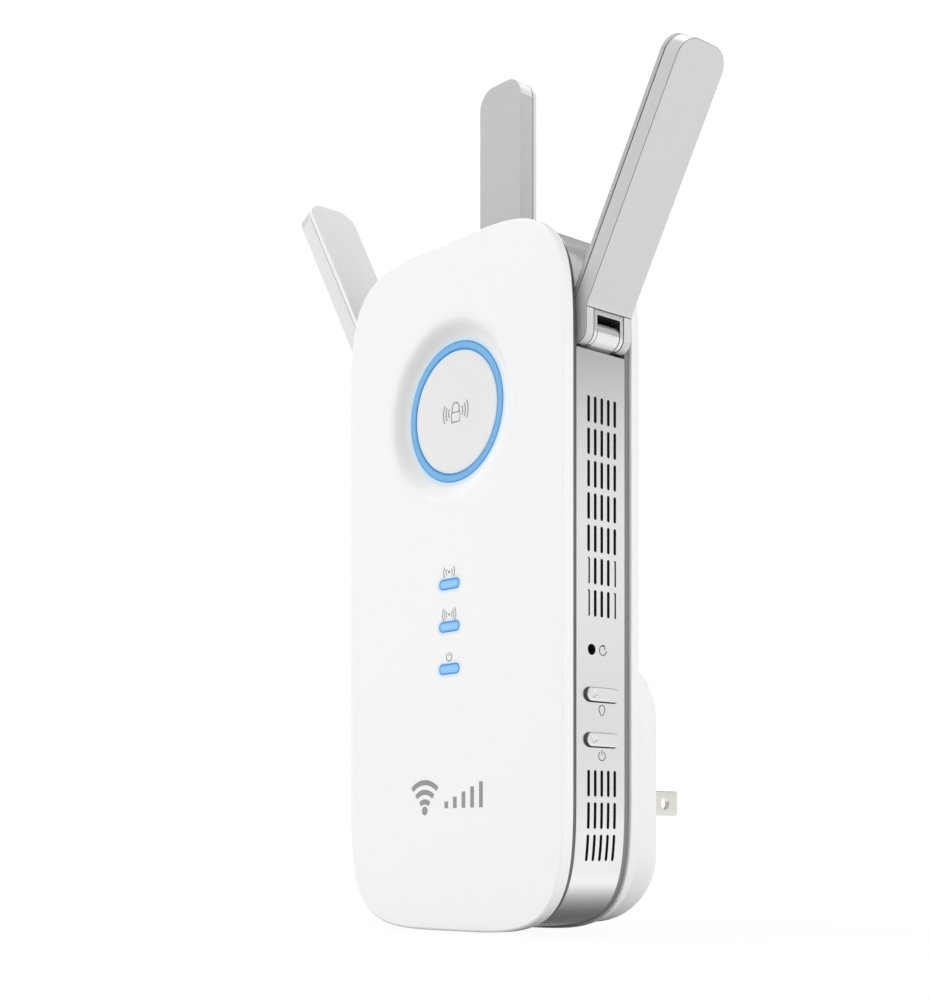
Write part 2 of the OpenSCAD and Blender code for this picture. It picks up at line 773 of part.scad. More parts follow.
module at_side_hinge() translate([hinge_x, hinge_y, hinge_z]) children();
module place_right() in_frame() at_side_hinge() children();
module place_left() in_frame() mirror([1, 0, 0]) at_side_hinge() children();
module place_top(turn) in_frame() translate([0, top_y, top_z]) rotate([0, 0, turn]) children();

module right_antenna_outer() color(side_outer_grey) place_right() antenna_outer(pad_splay);
module right_antenna_inner() color(mid_grey) place_right() antenna_inner(pad_splay);
module right_antenna_yoke() color(side_yoke_grey) place_right() antenna_yoke();
module right_radiator() color(board_green) place_right() antenna_radiator(pad_splay);
module right_hinge_pin() color(steel) place_right() antenna_pin();
module right_knuckle() color(knuckle_grey) place_right() knuckle();

module left_antenna_outer() color(side_outer_grey) place_left() antenna_outer(pad_splay);
module left_antenna_inner() color(mid_grey) place_left() antenna_inner(pad_splay);
module left_antenna_yoke() color(side_yoke_grey) place_left() antenna_yoke();
module left_radiator() color(board_green) place_left() antenna_radiator(pad_splay);
module left_hinge_pin() color(steel) place_left() antenna_pin();
module left_knuckle() color(knuckle_grey) place_left() knuckle();

// The top antenna's thick shell and its arm both face the front
module top_antenna_outer() color(top_shell_grey) place_top(-90) antenna_outer(0);
module top_antenna_inner() color(top_shell_grey) place_top(-90) antenna_inner(0);
module top_antenna_yoke() color(mid_grey) place_top(-90) antenna_yoke();
module top_radiator() color(board_green) place_top(-90) antenna_radiator(0);
module top_hinge_pin() color(steel) place_top(-90) antenna_pin();
module top_knuckle() color(knuckle_grey) place_top(90) knuckle();

front_cover();
case_pillars();
front_trim();
side_band();
rear_trim();
rear_cover();
plug_base();
plug_blade_left();
plug_blade_right();
case_screws();
signal_button();
led_ring();
indicator_lens_upper();
indicator_lens_middle();
indicator_lens_lower();
light_baffle();
led_button();
power_button();
reset_plunger();
side_switches();
signal_switch();
main_board();
cpu_shield();
radio_shield();
thermal_pad();
heat_sink();
board_chips();
indicator_leds();
ring_leds();
ethernet_jack();
ethernet_contacts();
coax_sockets();
board_screws();
power_board();
power_transformer();
power_capacitors();
line_choke();
fuse();
dc_wires();
insulating_sheet();
blade_contacts();
left_antenna_outer();
left_antenna_inner();
left_antenna_yoke();
left_radiator();
left_hinge_pin();
left_knuckle();
right_antenna_outer();
right_antenna_inner();
right_antenna_yoke();
right_radiator();
right_hinge_pin();
right_knuckle();
top_antenna_outer();
top_antenna_inner();
top_antenna_yoke();
top_radiator();
top_hinge_pin();
top_knuckle();
coax_cables();
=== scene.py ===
import bpy, bmesh, math, json
import numpy as np
from mathutils import Vector, Matrix
from mathutils.geometry import delaunay_2d_cdt

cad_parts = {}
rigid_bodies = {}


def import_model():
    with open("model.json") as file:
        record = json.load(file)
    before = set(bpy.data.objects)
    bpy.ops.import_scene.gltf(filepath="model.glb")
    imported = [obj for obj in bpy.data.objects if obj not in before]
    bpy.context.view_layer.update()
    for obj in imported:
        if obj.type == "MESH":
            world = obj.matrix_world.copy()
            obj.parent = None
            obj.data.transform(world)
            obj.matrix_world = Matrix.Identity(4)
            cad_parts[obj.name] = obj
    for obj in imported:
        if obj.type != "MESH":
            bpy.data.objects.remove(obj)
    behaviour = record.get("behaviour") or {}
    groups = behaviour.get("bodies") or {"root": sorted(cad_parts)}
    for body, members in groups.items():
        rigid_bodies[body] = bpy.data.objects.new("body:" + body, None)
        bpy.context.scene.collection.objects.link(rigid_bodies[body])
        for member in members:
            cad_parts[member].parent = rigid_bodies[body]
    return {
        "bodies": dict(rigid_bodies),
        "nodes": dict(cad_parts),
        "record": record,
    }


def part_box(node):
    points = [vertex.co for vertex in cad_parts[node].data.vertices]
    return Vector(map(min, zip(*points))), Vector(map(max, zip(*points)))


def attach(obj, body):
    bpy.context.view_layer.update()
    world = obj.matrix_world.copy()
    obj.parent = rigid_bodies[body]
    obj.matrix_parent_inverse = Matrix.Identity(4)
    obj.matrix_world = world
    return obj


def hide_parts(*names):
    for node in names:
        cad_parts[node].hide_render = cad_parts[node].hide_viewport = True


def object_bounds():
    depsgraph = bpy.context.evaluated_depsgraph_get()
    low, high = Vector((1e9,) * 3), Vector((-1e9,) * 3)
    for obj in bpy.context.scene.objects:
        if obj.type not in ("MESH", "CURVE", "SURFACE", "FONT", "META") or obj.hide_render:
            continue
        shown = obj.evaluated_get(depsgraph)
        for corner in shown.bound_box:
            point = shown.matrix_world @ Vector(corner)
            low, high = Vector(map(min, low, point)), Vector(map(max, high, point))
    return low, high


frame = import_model()
CAD_BOX = [list(v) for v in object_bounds()]
NODES = frame["nodes"]

# ------------------------------------------------------------------ frame
# Dimensions below are in millimetres in body coordinates: x to the right,
# y back from the flat front face, z up from the bottom of the body. to_m()
# turns them into the row frame from the front cover's CAD box.
c_lo, c_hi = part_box("front_cover")
YF, ZB = c_lo.y, c_lo.z
HW = (c_hi.x - c_lo.x) * 500.0
HH = (c_hi.z - c_lo.z) * 1000.0
CN = 4.3


def body_y(v):
    return (v - YF) * 1000.0


def body_z(v):
    return (v - ZB) * 1000.0


def to_m(a):
    a = np.asarray(a, float)
    out = a / 1000.0
    out[..., 1] += YF
    out[..., 2] += ZB
    return out


band_lo, band_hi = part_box("side_band")
Y_BAND0, Y_BAND1 = body_y(band_lo.y), body_y(band_hi.y)
trim_lo, trim_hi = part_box("rear_trim")
Y_TRIM1 = body_y(trim_hi.y)
ring_lo, ring_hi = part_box("led_ring")
RING_Z = body_z((ring_lo.z + ring_hi.z) / 2)
DISH_D = body_y(ring_lo.y)
lens_z = [body_z(sum(v.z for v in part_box(n)) / 2) for n in
          ("indicator_lens_upper", "indicator_lens_middle", "indicator_lens_lower")]
led_lo, led_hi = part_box("led_button")
pow_lo, pow_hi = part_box("power_button")
Z_LED = body_z((led_lo.z + led_hi.z) / 2)
Z_POW = body_z((pow_lo.z + pow_hi.z) / 2)
Y_BTN = body_y((led_lo.y + led_hi.y) / 2)
X_BTN = led_hi.x * 1000
plug_lo, plug_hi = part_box("plug_base")
Z_BLADE = body_z((plug_lo.z + plug_hi.z) / 2)
Y_WALL = body_y(plug_hi.y)
bl_lo, bl_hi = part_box("plug_blade_right")
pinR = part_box("right_hinge_pin")
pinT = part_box("top_hinge_pin")
HINGE_R = np.array([(pinR[0].x + pinR[1].x) * 500, body_y((pinR[0].y + pinR[1].y) / 2), body_z((pinR[0].z + pinR[1].z) / 2)])
HINGE_T = np.array([0.0, body_y((pinT[0].y + pinT[1].y) / 2), body_z((pinT[0].z + pinT[1].z) / 2)])

# ------------------------------------------------------------------ outlines


def outline(d=0.0, k=40, straight=6):
    """Body outline seen along Y, inset by d along its normals: N x 2."""
    pts = []
    centres = [(0.0, HH - HW), (0.0, HH - HW), (0.0, HW), (0.0, HW)]
    for q in range(4):
        for i in range(k + 1):
            if i == 0 and q in (1, 3):
                continue
            a = math.radians(90.0 * q + 90.0 * i / k)
            c, s = math.cos(a), math.sin(a)
            kk = (abs(c) ** CN + abs(s) ** CN) ** (-1.0 / CN)
            u = np.array([c * kk, s * kk])
            m = np.sign(u) * np.abs(u) ** (CN - 1)
            m /= np.linalg.norm(m)
            pts.append(HW * u - d * m + np.array(centres[q]))
        if q in (1, 3):
            # straight side down to the next corner
            last = pts[-1]
            nxt = np.array([-last[0] * 1.0, last[1]])
            z0 = last[1]
            z1 = HW if q == 1 else HH - HW
            for j in range(1, straight):
                t = j / straight
                pts.append(np.array([last[0], z0 + (z1 - z0) * t]))
    return np.array(pts)


def rrect(hw, z0, z1, r, k=14):
    pts = []
    for q in range(4):
        sx = 1 if q in (0, 3) else -1
        sz = 1 if q < 2 else -1
        for i in range(k + 1):
            a = math.radians(90.0 * q + 90.0 * i / k)
            pts.append([sx * (hw - r) + r * math.cos(a), (z0 + z1) / 2 + sz * ((z1 - z0) / 2 - r) + r * math.sin(a)])
    return np.array(pts)


def pill(cx, cy, w, h, k=10):
    """Pill outline, long along the first axis."""
    r = h / 2
    pts = []
    for i in range(k + 1):
        a = math.radians(-90 + 180.0 * i / k)
        pts.append([cx + w / 2 - r + r * math.cos(a), cy + r * math.sin(a)])
    for i in range(k + 1):
        a = math.radians(90 + 180.0 * i / k)
        pts.append([cx - w / 2 + r + r * math.cos(a), cy + r * math.sin(a)])
    return np.array(pts)


def circle(cx, cy, r, n=128):
    a = np.linspace(0, 2 * math.pi, n, endpoint=False)
    return np.c_[cx + r * np.cos(a), cy + r * np.sin(a)]


def inset_loop(P, d):
    """Moves a closed counter-clockwise loop inward by d with mitred corners."""
    P = np.asarray(P, float)
    a = P - np.roll(P, 1, 0)
    b = np.roll(P, -1, 0) - P
    a /= np.linalg.norm(a, axis=1)[:, None] + 1e-12
    b /= np.linalg.norm(b, axis=1)[:, None] + 1e-12
    na = np.c_[-a[:, 1], a[:, 0]]
    nb = np.c_[-b[:, 1], b[:, 0]]
    m = na + nb
    m /= np.linalg.norm(m, axis=1)[:, None] + 1e-12
    cosh = np.clip((m * na).sum(1), 0.35, 1)
    return P + m * (d / cosh)[:, None]


# ------------------------------------------------------------------ mesh tools


class Build:
    """Collects vertices in body millimetres and faces, then makes one object."""

    def __init__(self):
        self.v = []
        self.f = []

    def add(self, pts):
        i = len(self.v)
        self.v.extend([list(p) for p in pts])
        return list(range(i, i + len(pts)))

    def strip(self, A, B, closed=True):
        n = len(A)
        for i in range(n if closed else n - 1):
            j = (i + 1) % n
            self.f.append([A[i], A[j], B[j], B[i]])

    def loft(self, rings, closed=True, cap0=False, cap1=False):
        idx = [self.add(r) for r in rings]
        for a, b in zip(idx[:-1], idx[1:]):
            self.strip(a, b, closed)
        if cap0:
            self.f.append(list(reversed(idx[0])))
        if cap1:
            self.f.append(list(idx[-1]))
        return idx

    def flat(self, loops, lift, outer=0):
        """Fills between closed 2D loops (the first is the boundary, the rest are holes); lift maps 2D to 3D."""
        verts, edges = [], []
        for L in loops:
            i0 = len(verts)
            verts.extend([Vector((float(p[0]), float(p[1]))) for p in L])
            edges.extend([(i0 + i, i0 + (i + 1) % len(L)) for i in range(len(L))])
        r = delaunay_2d_cdt(verts, edges, [], 0, 1e-9)
        V = np.array([[p.x, p.y] for p in r[0]])

        def inside(p, L):
            x, y = p
            a, b = L, np.roll(L, -1, 0)
            cond = (a[:, 1] > y) != (b[:, 1] > y)
            with np.errstate(divide="ignore", invalid="ignore"):
                xi = (b[:, 0] - a[:, 0]) * (y - a[:, 1]) / (b[:, 1] - a[:, 1]) + a[:, 0]
            return (np.count_nonzero(cond & (x < xi)) % 2) == 1

        base = self.add([lift(p) for p in V])
        loops = [np.asarray(L, float) for L in loops]
        for t in r[2]:
            c = V[list(t)].mean(0)
            if inside(c, loops[0]) and not any(inside(c, L) for L in loops[1:]):
                self.f.append([base[i] for i in t])

    def make(self, name, smooth=35.0, weld=1e-4, xform=None):
        me = bpy.data.meshes.new(name)
        v = np.array(self.v, float)
        if xform is not None:
            v = xform(v)
        me.from_pydata(to_m(v).tolist(), [], self.f)
        bm = bmesh.new()
        bm.from_mesh(me)
        bmesh.ops.remove_doubles(bm, verts=bm.verts, dist=weld / 1000.0)
        bmesh.ops.dissolve_degenerate(bm, dist=1e-7, edges=bm.edges)
        bmesh.ops.recalc_face_normals(bm, faces=bm.faces)
        bm.to_mesh(me)
        bm.free()
        ob = bpy.data.objects.new(name, me)
        bpy.context.scene.collection.objects.link(ob)
        if smooth:
            shade(ob, smooth)
        return ob


def shade(ob, angle=35.0):
    me = ob.data
    me.polygons.foreach_set("use_smooth", [True] * len(me.polygons))
    me.set_sharp_from_angle(angle=math.radians(angle))
    me.update()


def apply_mods(ob):
    dg = bpy.context.evaluated_depsgraph_get()
    me = bpy.data.meshes.new_from_object(ob.evaluated_get(dg))
    ob.modifiers.clear()
    old = ob.data
    ob.data = me
    bpy.data.meshes.remove(old)


def boolean(ob, other, op="DIFFERENCE", keep=False, smooth=35.0):
    m = ob.modifiers.new("b", "BOOLEAN")
    m.operation = op
    m.solver = "EXACT"
    m.object = other
    apply_mods(ob)
    if not keep:
        bpy.data.objects.remove(other)
    bm = bmesh.new()
    bm.from_mesh(ob.data)
    bmesh.ops.remove_doubles(bm, verts=bm.verts, dist=2e-7)
    bmesh.ops.dissolve_degenerate(bm, dist=1e-7, edges=bm.edges)
    bm.to_mesh(ob.data)
    bm.free()
    if smooth:
        shade(ob, smooth)


def join(obs):
    """One object from several, for cutters."""
    bm = bmesh.new()
    for o in obs:
        bm.from_mesh(o.data)
    me = bpy.data.meshes.new("joined")
    bm.to_mesh(me)
    bm.free()
    ob = bpy.data.objects.new("joined", me)
    bpy.context.scene.collection.objects.link(ob)
    for o in obs:
        bpy.data.objects.remove(o)
    return ob


def lift_y(y):
    return lambda p: [p[0], y, p[1]]


def lift_x(x):
    return lambda p: [x, p[0], p[1]]


def ring_y(L, y):
    L = np.asarray(L)
    return np.c_[L[:, 0], np.full(len(L), y), L[:, 1]]


def ring_x(L, x):
    L = np.asarray(L)
    return np.c_[np.full(len(L), x), L[:, 0], L[:, 1]]


def prism(B, L, lift_ring, a0, a1, bev=0.0, holes=(), steps=3):
    """A prism of loop L from a0 to a1 along lift_ring's axis with rounded edges and optional through holes."""
    rings = []
    if bev > 0:
        for i in range(steps + 1):
            t = math.radians(90.0 * i / steps)
            rings.append(lift_ring(inset_loop(L, bev * (1 - math.sin(t))), a0 + bev * (1 - math.cos(t))))
        for i in range(steps, -1, -1):
            t = math.radians(90.0 * i / steps)
            rings.append(lift_ring(inset_loop(L, bev * (1 - math.sin(t))), a1 - bev * (1 - math.cos(t))))
    else:
        rings = [lift_ring(L, a0), lift_ring(L, a1)]
    if not holes:
        B.loft(rings, cap0=True, cap1=True)
    else:
        B.loft(rings)
        Li = inset_loop(L, bev) if bev > 0 else L
        for a, s in ((a0, 1), (a1, -1)):
            B.flat([Li] + [h for h in holes], lambda p, a=a: list(lift_ring(np.array([p]), a)[0]))
        for h in holes:
            B.loft([lift_ring(h, a0), lift_ring(h, a1)])


def paint_inside_shade(ob, mat):
    """Painted shade: a second, near-black material on the faces inside the moulding and in its cut openings, standing
    in for the shade there.
    """
    ob.data.materials.append(mat)
    me = ob.data
    zc0, zc1 = ZB + HW / 1000, ZB + (HH - HW) / 1000
    for p in me.polygons:
        c, n = p.center, p.normal
        ax = Vector((0.0, min(max(c.z, zc0), zc1)))
        d = Vector((c.x - ax.x, c.z - ax.y))
        m = Vector((n.x, n.z))
        on_skin = abs(d.x) > (HW - BI_GUESS - 0.25) / 1000 or abs(c.x) > 0.0338
        facing = m.dot(d.normalized()) if d.length > 1e-9 else 0
        if facing < -0.2:
            p.material_index = 1
        elif facing < 0.35 and YF + (Y_BAND0 + 0.5) / 1000 < c.y < YF + (Y_BAND1 - 0.5) / 1000 and 0.0355 < abs(c.x) < 0.0372 and c.z < ZB + 0.129:
            p.material_index = 1


BI_GUESS = 1.0


def box_obj(lo, hi):
    B = Build()
    L = np.array([[lo[0], lo[2]], [hi[0], lo[2]], [hi[0], hi[2]], [lo[0], hi[2]]])
    B.loft([ring_y(L, lo[1]), ring_y(L, hi[1])], cap0=True, cap1=True)
    return B.make("cut", smooth=0)


def finish_piece(ob, body, mat, slot, *nodes, wn=True):
    keep = [p.material_index for p in ob.data.polygons] if ob.type == "MESH" else []
    ob.data.materials.clear()
    ob.data.materials.append(mat)
    if any(keep):
        ob.data.polygons.foreach_set("material_index", keep)
    if nodes:
        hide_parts(*nodes)
    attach(ob, body)
    if wn:
        w = ob.modifiers.new("wn", "WEIGHTED_NORMAL")
        w.keep_sharp = True
        w.mode = "FACE_AREA_WITH_ANGLE"
    return ob

# ------------------------------------------------------------------ materials


def nodes_of(name):
    m = bpy.data.materials.new(name)
    m.use_nodes = True
    nt = m.node_tree
    b = nt.nodes["Principled BSDF"]
    return m, nt, b


def plastic(name, color, rough=0.35, grain=0.0, grain_scale=2500.0, coat=0.0, vary=0.012, spec=0.5, metallic=0.0, speck=0.0, sss=0.0):
    """Moulded plastic: slight tone and gloss variation, and a fine moulded grain."""
    m, nt, b = nodes_of(name)
    L = nt.links
    co = nt.nodes.new("ShaderNodeTexCoord")
    big = nt.nodes.new("ShaderNodeTexNoise")
    big.inputs["Scale"].default_value = 18.0
    big.inputs["Detail"].default_value = 2.0
    L.new(co.outputs["Object"], big.inputs["Vector"])
    mix = nt.nodes.new("ShaderNodeMixRGB")
    lo = [c * (1 - vary) for c in color] + [1]
    hi = [min(1.0, c * (1 + vary)) for c in color] + [1]
    mix.inputs[1].default_value = lo
    mix.inputs[2].default_value = hi
    L.new(big.outputs["Fac"], mix.inputs[0])
    L.new(mix.outputs[0], b.inputs["Base Color"])
    fine = nt.nodes.new("ShaderNodeTexNoise")
    fine.inputs["Scale"].default_value = grain_scale
    fine.inputs["Detail"].default_value = 1.5
    L.new(co.outputs["Object"], fine.inputs["Vector"])
    r = nt.nodes.new("ShaderNodeMapRange")
    r.inputs["To Min"].default_value = rough * 0.88
    r.inputs["To Max"].default_value = min(1.0, rough * 1.12)
    L.new(fine.outputs["Fac"], r.inputs["Value"])
    L.new(r.outputs["Result"], b.inputs["Roughness"])
    if grain > 0:
        bump = nt.nodes.new("ShaderNodeBump")
        bump.inputs["Strength"].default_value = grain
        bump.inputs["Distance"].default_value = 0.00002
        L.new(fine.outputs["Fac"], bump.inputs["Height"])
        L.new(bump.outputs["Normal"], b.inputs["Normal"])
    b.inputs["Metallic"].default_value = metallic
    b.inputs["Specular IOR Level"].default_value = spec
    b.inputs["Coat Weight"].default_value = coat
    b.inputs["Coat Roughness"].default_value = 0.12
    if sss:
        b.inputs["Subsurface Weight"].default_value = sss
        b.inputs["Subsurface Scale"].default_value = 0.0008
    return m


def metal(name, color, rough=0.3, brushed=None, vary=0.05, bump=0.1):
    """Bare or plated metal, with fine directional brushing when brushed names an axis scale."""
    m, nt, b = nodes_of(name)
    L = nt.links
    co = nt.nodes.new("ShaderNodeTexCoord")
    mp = nt.nodes.new("ShaderNodeMapping")
    mp.inputs["Scale"].default_value = brushed or (1, 1, 1)
    L.new(co.outputs["Object"], mp.inputs["Vector"])
    n = nt.nodes.new("ShaderNodeTexNoise")
    n.inputs["Scale"].default_value = 400.0
    n.inputs["Detail"].default_value = 4.0
    L.new(mp.outputs["Vector"], n.inputs["Vector"])
    mix = nt.nodes.new("ShaderNodeMixRGB")
    mix.inputs[1].default_value = [c * (1 - vary) for c in color] + [1]
    mix.inputs[2].default_value = [min(1, c * (1 + vary)) for c in color] + [1]
    L.new(n.outputs["Fac"], mix.inputs[0])
    L.new(mix.outputs[0], b.inputs["Base Color"])
    r = nt.nodes.new("ShaderNodeMapRange")
    r.inputs["To Min"].default_value = rough * 0.75
    r.inputs["To Max"].default_value = min(1.0, rough * 1.25)
    L.new(n.outputs["Fac"], r.inputs["Value"])
    L.new(r.outputs["Result"], b.inputs["Roughness"])
    bp = nt.nodes.new("ShaderNodeBump")
    bp.inputs["Strength"].default_value = bump
    bp.inputs["Distance"].default_value = 0.00001
    L.new(n.outputs["Fac"], bp.inputs["Height"])
    L.new(bp.outputs["Normal"], b.inputs["Normal"])
    b.inputs["Metallic"].default_value = 1.0
    return m


def math_node(nt, L, op, a=None, b=None):
    q = nt.nodes.new("ShaderNodeMath")
    q.operation = op
    for i, v in enumerate((a, b)):
        if v is None:
            continue
        if isinstance(v, (int, float)):
            q.inputs[i].default_value = v
        else:
            L.new(v, q.inputs[i])
    return q.outputs[0]


def pill_dist(nt, L, sep, zc):
    """Metres from the middle line of the indicator at height zc."""
    ax = math_node(nt, L, "ABSOLUTE", sep.outputs["X"])
    dx = math_node(nt, L, "MAXIMUM", math_node(nt, L, "SUBTRACT", ax, 0.0024), 0.0)
    dz = math_node(nt, L, "SUBTRACT", sep.outputs["Z"], ZB + zc / 1000)
    return math_node(nt, L, "SQRT", math_node(nt, L, "ADD", math_node(nt, L, "MULTIPLY", dx, dx), math_node(nt, L, "MULTIPLY", dz, dz)))


def ring_dist(nt, L, sep):
    """Metres from the middle of the light ring, measured across it."""
    dz = math_node(nt, L, "SUBTRACT", sep.outputs["Z"], ZB + RING_Z / 1000)
    r = math_node(nt, L, "SQRT", math_node(nt, L, "ADD", math_node(nt, L, "MULTIPLY", sep.outputs["X"], sep.outputs["X"]), math_node(nt, L, "MULTIPLY", dz, dz)))
    return math_node(nt, L, "ABSOLUTE", math_node(nt, L, "SUBTRACT", r, 0.01557))


def add_painted_glow_and_dish_shade(m, pills, amount=0.5):
    """Painted light: blue glow from the lit ring and lenses painted into the white plastic's base colour beside them;
    with pills, also painted contact shade in the dish.
    """
    nt = m.node_tree
    L = nt.links
    b = nt.nodes["Principled BSDF"]
    co = nt.nodes.new("ShaderNodeTexCoord")
    sep = nt.nodes.new("ShaderNodeSeparateXYZ")
    L.new(co.outputs["Object"], sep.inputs[0])

    def fall(d, start, width):
        q = nt.nodes.new("ShaderNodeMapRange")
        q.interpolation_type = "SMOOTHSTEP"
        q.inputs["From Min"].default_value = start
        q.inputs["From Max"].default_value = start + width
        q.inputs["To Min"].default_value = 1.0
        q.inputs["To Max"].default_value = 0.0
        L.new(d, q.inputs["Value"])
        return q.outputs["Result"]
    f = fall(ring_dist(nt, L, sep), 0.0009, 0.0016)
    if pills:
        for z in lens_z:
            f = math_node(nt, L, "MAXIMUM", f, fall(pill_dist(nt, L, sep, z), 0.0011, 0.0013))
    f = math_node(nt, L, "MULTIPLY", f, amount)
    src = b.inputs["Base Color"].links[0].from_socket
    if pills:
        # soft contact shading in the dish, least towards its lit lower right
        dx, dz = sep.outputs["X"], math_node(nt, L, "SUBTRACT", sep.outputs["Z"], ZB + RING_Z / 1000)
        r = math_node(nt, L, "SQRT", math_node(nt, L, "ADD", math_node(nt, L, "MULTIPLY", dx, dx), math_node(nt, L, "MULTIPLY", dz, dz)))
        dot = math_node(nt, L, "DIVIDE", math_node(nt, L, "SUBTRACT", math_node(nt, L, "MULTIPLY", dx, 0.9), math_node(nt, L, "MULTIPLY", dz, 0.43)), r)
        w = math_node(nt, L, "SUBTRACT", 0.64, math_node(nt, L, "MULTIPLY", dot, 0.75))
        w = math_node(nt, L, "MINIMUM", math_node(nt, L, "MAXIMUM", w, 0.0), 1.0)
        w = math_node(nt, L, "MULTIPLY", w, fall(r, 0.0178, 0.0058))
        w = math_node(nt, L, "MULTIPLY", w, 0.18)
        dk = nt.nodes.new("ShaderNodeMixRGB")
        L.new(w, dk.inputs[0])
        L.new(src, dk.inputs[1])
        dk.inputs[2].default_value = (0, 0, 0, 1)
        src = dk.outputs[0]
    # painted glow: the base colour tinted blue close to the ring and lenses
    mix = nt.nodes.new("ShaderNodeMixRGB")
    L.new(f, mix.inputs[0])
    L.new(src, mix.inputs[1])
    mix.inputs[2].default_value = (0.50, 0.74, 0.95, 1)
    L.new(mix.outputs[0], b.inputs["Base Color"])


def glow(name, core, edge, strength, kind):
    """Lit light guide: bright along its middle and deeper blue towards its edges."""
    m, nt, b = nodes_of(name)
    L = nt.links
    b.inputs["Base Color"].default_value = [c * 0.25 for c in edge] + [1]
    b.inputs["Roughness"].default_value = 0.4
    b.inputs["Specular IOR Level"].default_value = 0.25
    co = nt.nodes.new("ShaderNodeTexCoord")
    sep = nt.nodes.new("ShaderNodeSeparateXYZ")
    L.new(co.outputs["Object"], sep.inputs[0])
    ramp = nt.nodes.new("ShaderNodeValToRGB")
    if kind == "ring":
        def mnode(op, a=None, bb=None, va=None, vb=None):
            q = nt.nodes.new("ShaderNodeMath")
            q.operation = op
            if a is not None:
                L.new(a, q.inputs[0])
            if bb is not None:
                L.new(bb, q.inputs[1])
            if va is not None:
                q.inputs[0].default_value = va
            if vb is not None:
                q.inputs[1].default_value = vb
            return q.outputs[0]
        z = mnode("SUBTRACT", a=sep.outputs["Z"], vb=ZB + RING_Z / 1000)
        x2 = mnode("MULTIPLY", a=sep.outputs["X"], bb=sep.outputs["X"])
        z2 = mnode("MULTIPLY", a=z, bb=z)
        rr = mnode("SQRT", a=mnode("ADD", a=x2, bb=z2))
        t = mnode("MULTIPLY", a=mnode("SUBTRACT", a=rr, vb=0.01455), vb=1 / 0.002)
        L.new(t, ramp.inputs[0])
        e = ramp.color_ramp.elements
        e[0].position, e[0].color = 0.04, edge + [1]
        e[1].position, e[1].color = 0.96, edge + [1]
        for p in (0.25, 0.75):
            q = e.new(p)
            q.color = core + [1]
        L.new(ramp.outputs[0], b.inputs["Emission Color"])
    else:
        # nearest lens centre, then the distance to that pill's middle line
        ds = [pill_dist(nt, L, sep, z) for z in lens_z]
        d = ds[0]
        for o in ds[1:]:
            d = math_node(nt, L, "MINIMUM", d, o)
        t = math_node(nt, L, "MULTIPLY", d, 1000 / 1.2)
        L.new(t, ramp.inputs[0])
        e = ramp.color_ramp.elements
        e[0].position, e[0].color = 0.0, [min(1, c * 1.18) for c in core] + [1]
        e[1].position, e[1].color = 0.93, edge + [1]
        q = e.new(0.62)
        q.color = core + [1]
        L.new(ramp.outputs[0], b.inputs["Emission Color"])
    b.inputs["Emission Strength"].default_value = strength
    return m


def board(name, color):
    """Circuit board: solder mask with traces and pads."""
    m, nt, b = nodes_of(name)
    L = nt.links
    co = nt.nodes.new("ShaderNodeTexCoord")
    br = nt.nodes.new("ShaderNodeTexBrick")
    br.inputs["Scale"].default_value = 260.0
    br.inputs["Color1"].default_value = [c * 0.8 for c in color] + [1]
    br.inputs["Color2"].default_value = [min(1, c * 1.15) for c in color] + [1]
    br.inputs["Mortar"].default_value = [min(1, c * 1.7 + 0.01) for c in color] + [1]
    br.inputs["Mortar Size"].default_value = 0.02
    mp = nt.nodes.new("ShaderNodeMapping")
    mp.inputs["Rotation"].default_value = (math.radians(90), 0, 0)
    L.new(co.outputs["Object"], mp.inputs["Vector"])
    L.new(mp.outputs["Vector"], br.inputs["Vector"])
    L.new(br.outputs["Color"], b.inputs["Base Color"])
    b.inputs["Roughness"].default_value = 0.3
    return m


def wrapped(name, c1, c2, scale, axis="Z"):
    """Wound wire or tape: fine bands along an axis."""
    m, nt, b = nodes_of(name)
    L = nt.links
    co = nt.nodes.new("ShaderNodeTexCoord")
    w = nt.nodes.new("ShaderNodeTexWave")
    w.bands_direction = axis
    w.inputs["Scale"].default_value = scale
    w.inputs["Distortion"].default_value = 0.4
    L.new(co.outputs["Object"], w.inputs["Vector"])
    mix = nt.nodes.new("ShaderNodeMixRGB")
    mix.inputs[1].default_value = c1 + [1]
    mix.inputs[2].default_value = c2 + [1]
    L.new(w.outputs["Fac"], mix.inputs[0])
    L.new(mix.outputs[0], b.inputs["Base Color"])
    b.inputs["Roughness"].default_value = 0.4
    return m


WHITE = plastic("mat_cover_white", [0.90, 0.90, 0.90], rough=0.36, grain=0.03, coat=0.1, vary=0.003)
add_painted_glow_and_dish_shade(WHITE, True, 0.8)
BUTTON = plastic("mat_button_white", [0.80, 0.80, 0.80], rough=0.38, coat=0.1, vary=0.003)
add_painted_glow_and_dish_shade(BUTTON, False)
REAR = plastic("mat_rear_white", [0.86, 0.86, 0.86], rough=0.5, grain=0.12, vary=0.005)
TRIM_D = plastic("mat_trim_dark", [0.10, 0.10, 0.105], rough=0.25, coat=0.3)
TRIM_G = plastic("mat_trim_grey", [0.21, 0.21, 0.22], rough=0.3, coat=0.2)
SILVER = plastic("mat_band_silver", [0.84, 0.84, 0.85], rough=0.22, metallic=0.9, vary=0.008, grain=0.03)
BTN_SIDE_PAINTED_SHADE = plastic("mat_button_side_painted_shade", [0.16, 0.16, 0.165], rough=0.5, vary=0.003, spec=0.2)
SILVER_B = plastic("mat_button_silver", [0.84, 0.84, 0.85], rough=0.25, metallic=0.85, vary=0.008)
# near-black stand-in for shade inside the band and in the antenna windows: painted shade
INSIDE_PAINTED_SHADE = plastic("mat_inside_painted_shade", [0.026, 0.026, 0.027], rough=0.7, spec=0.1)
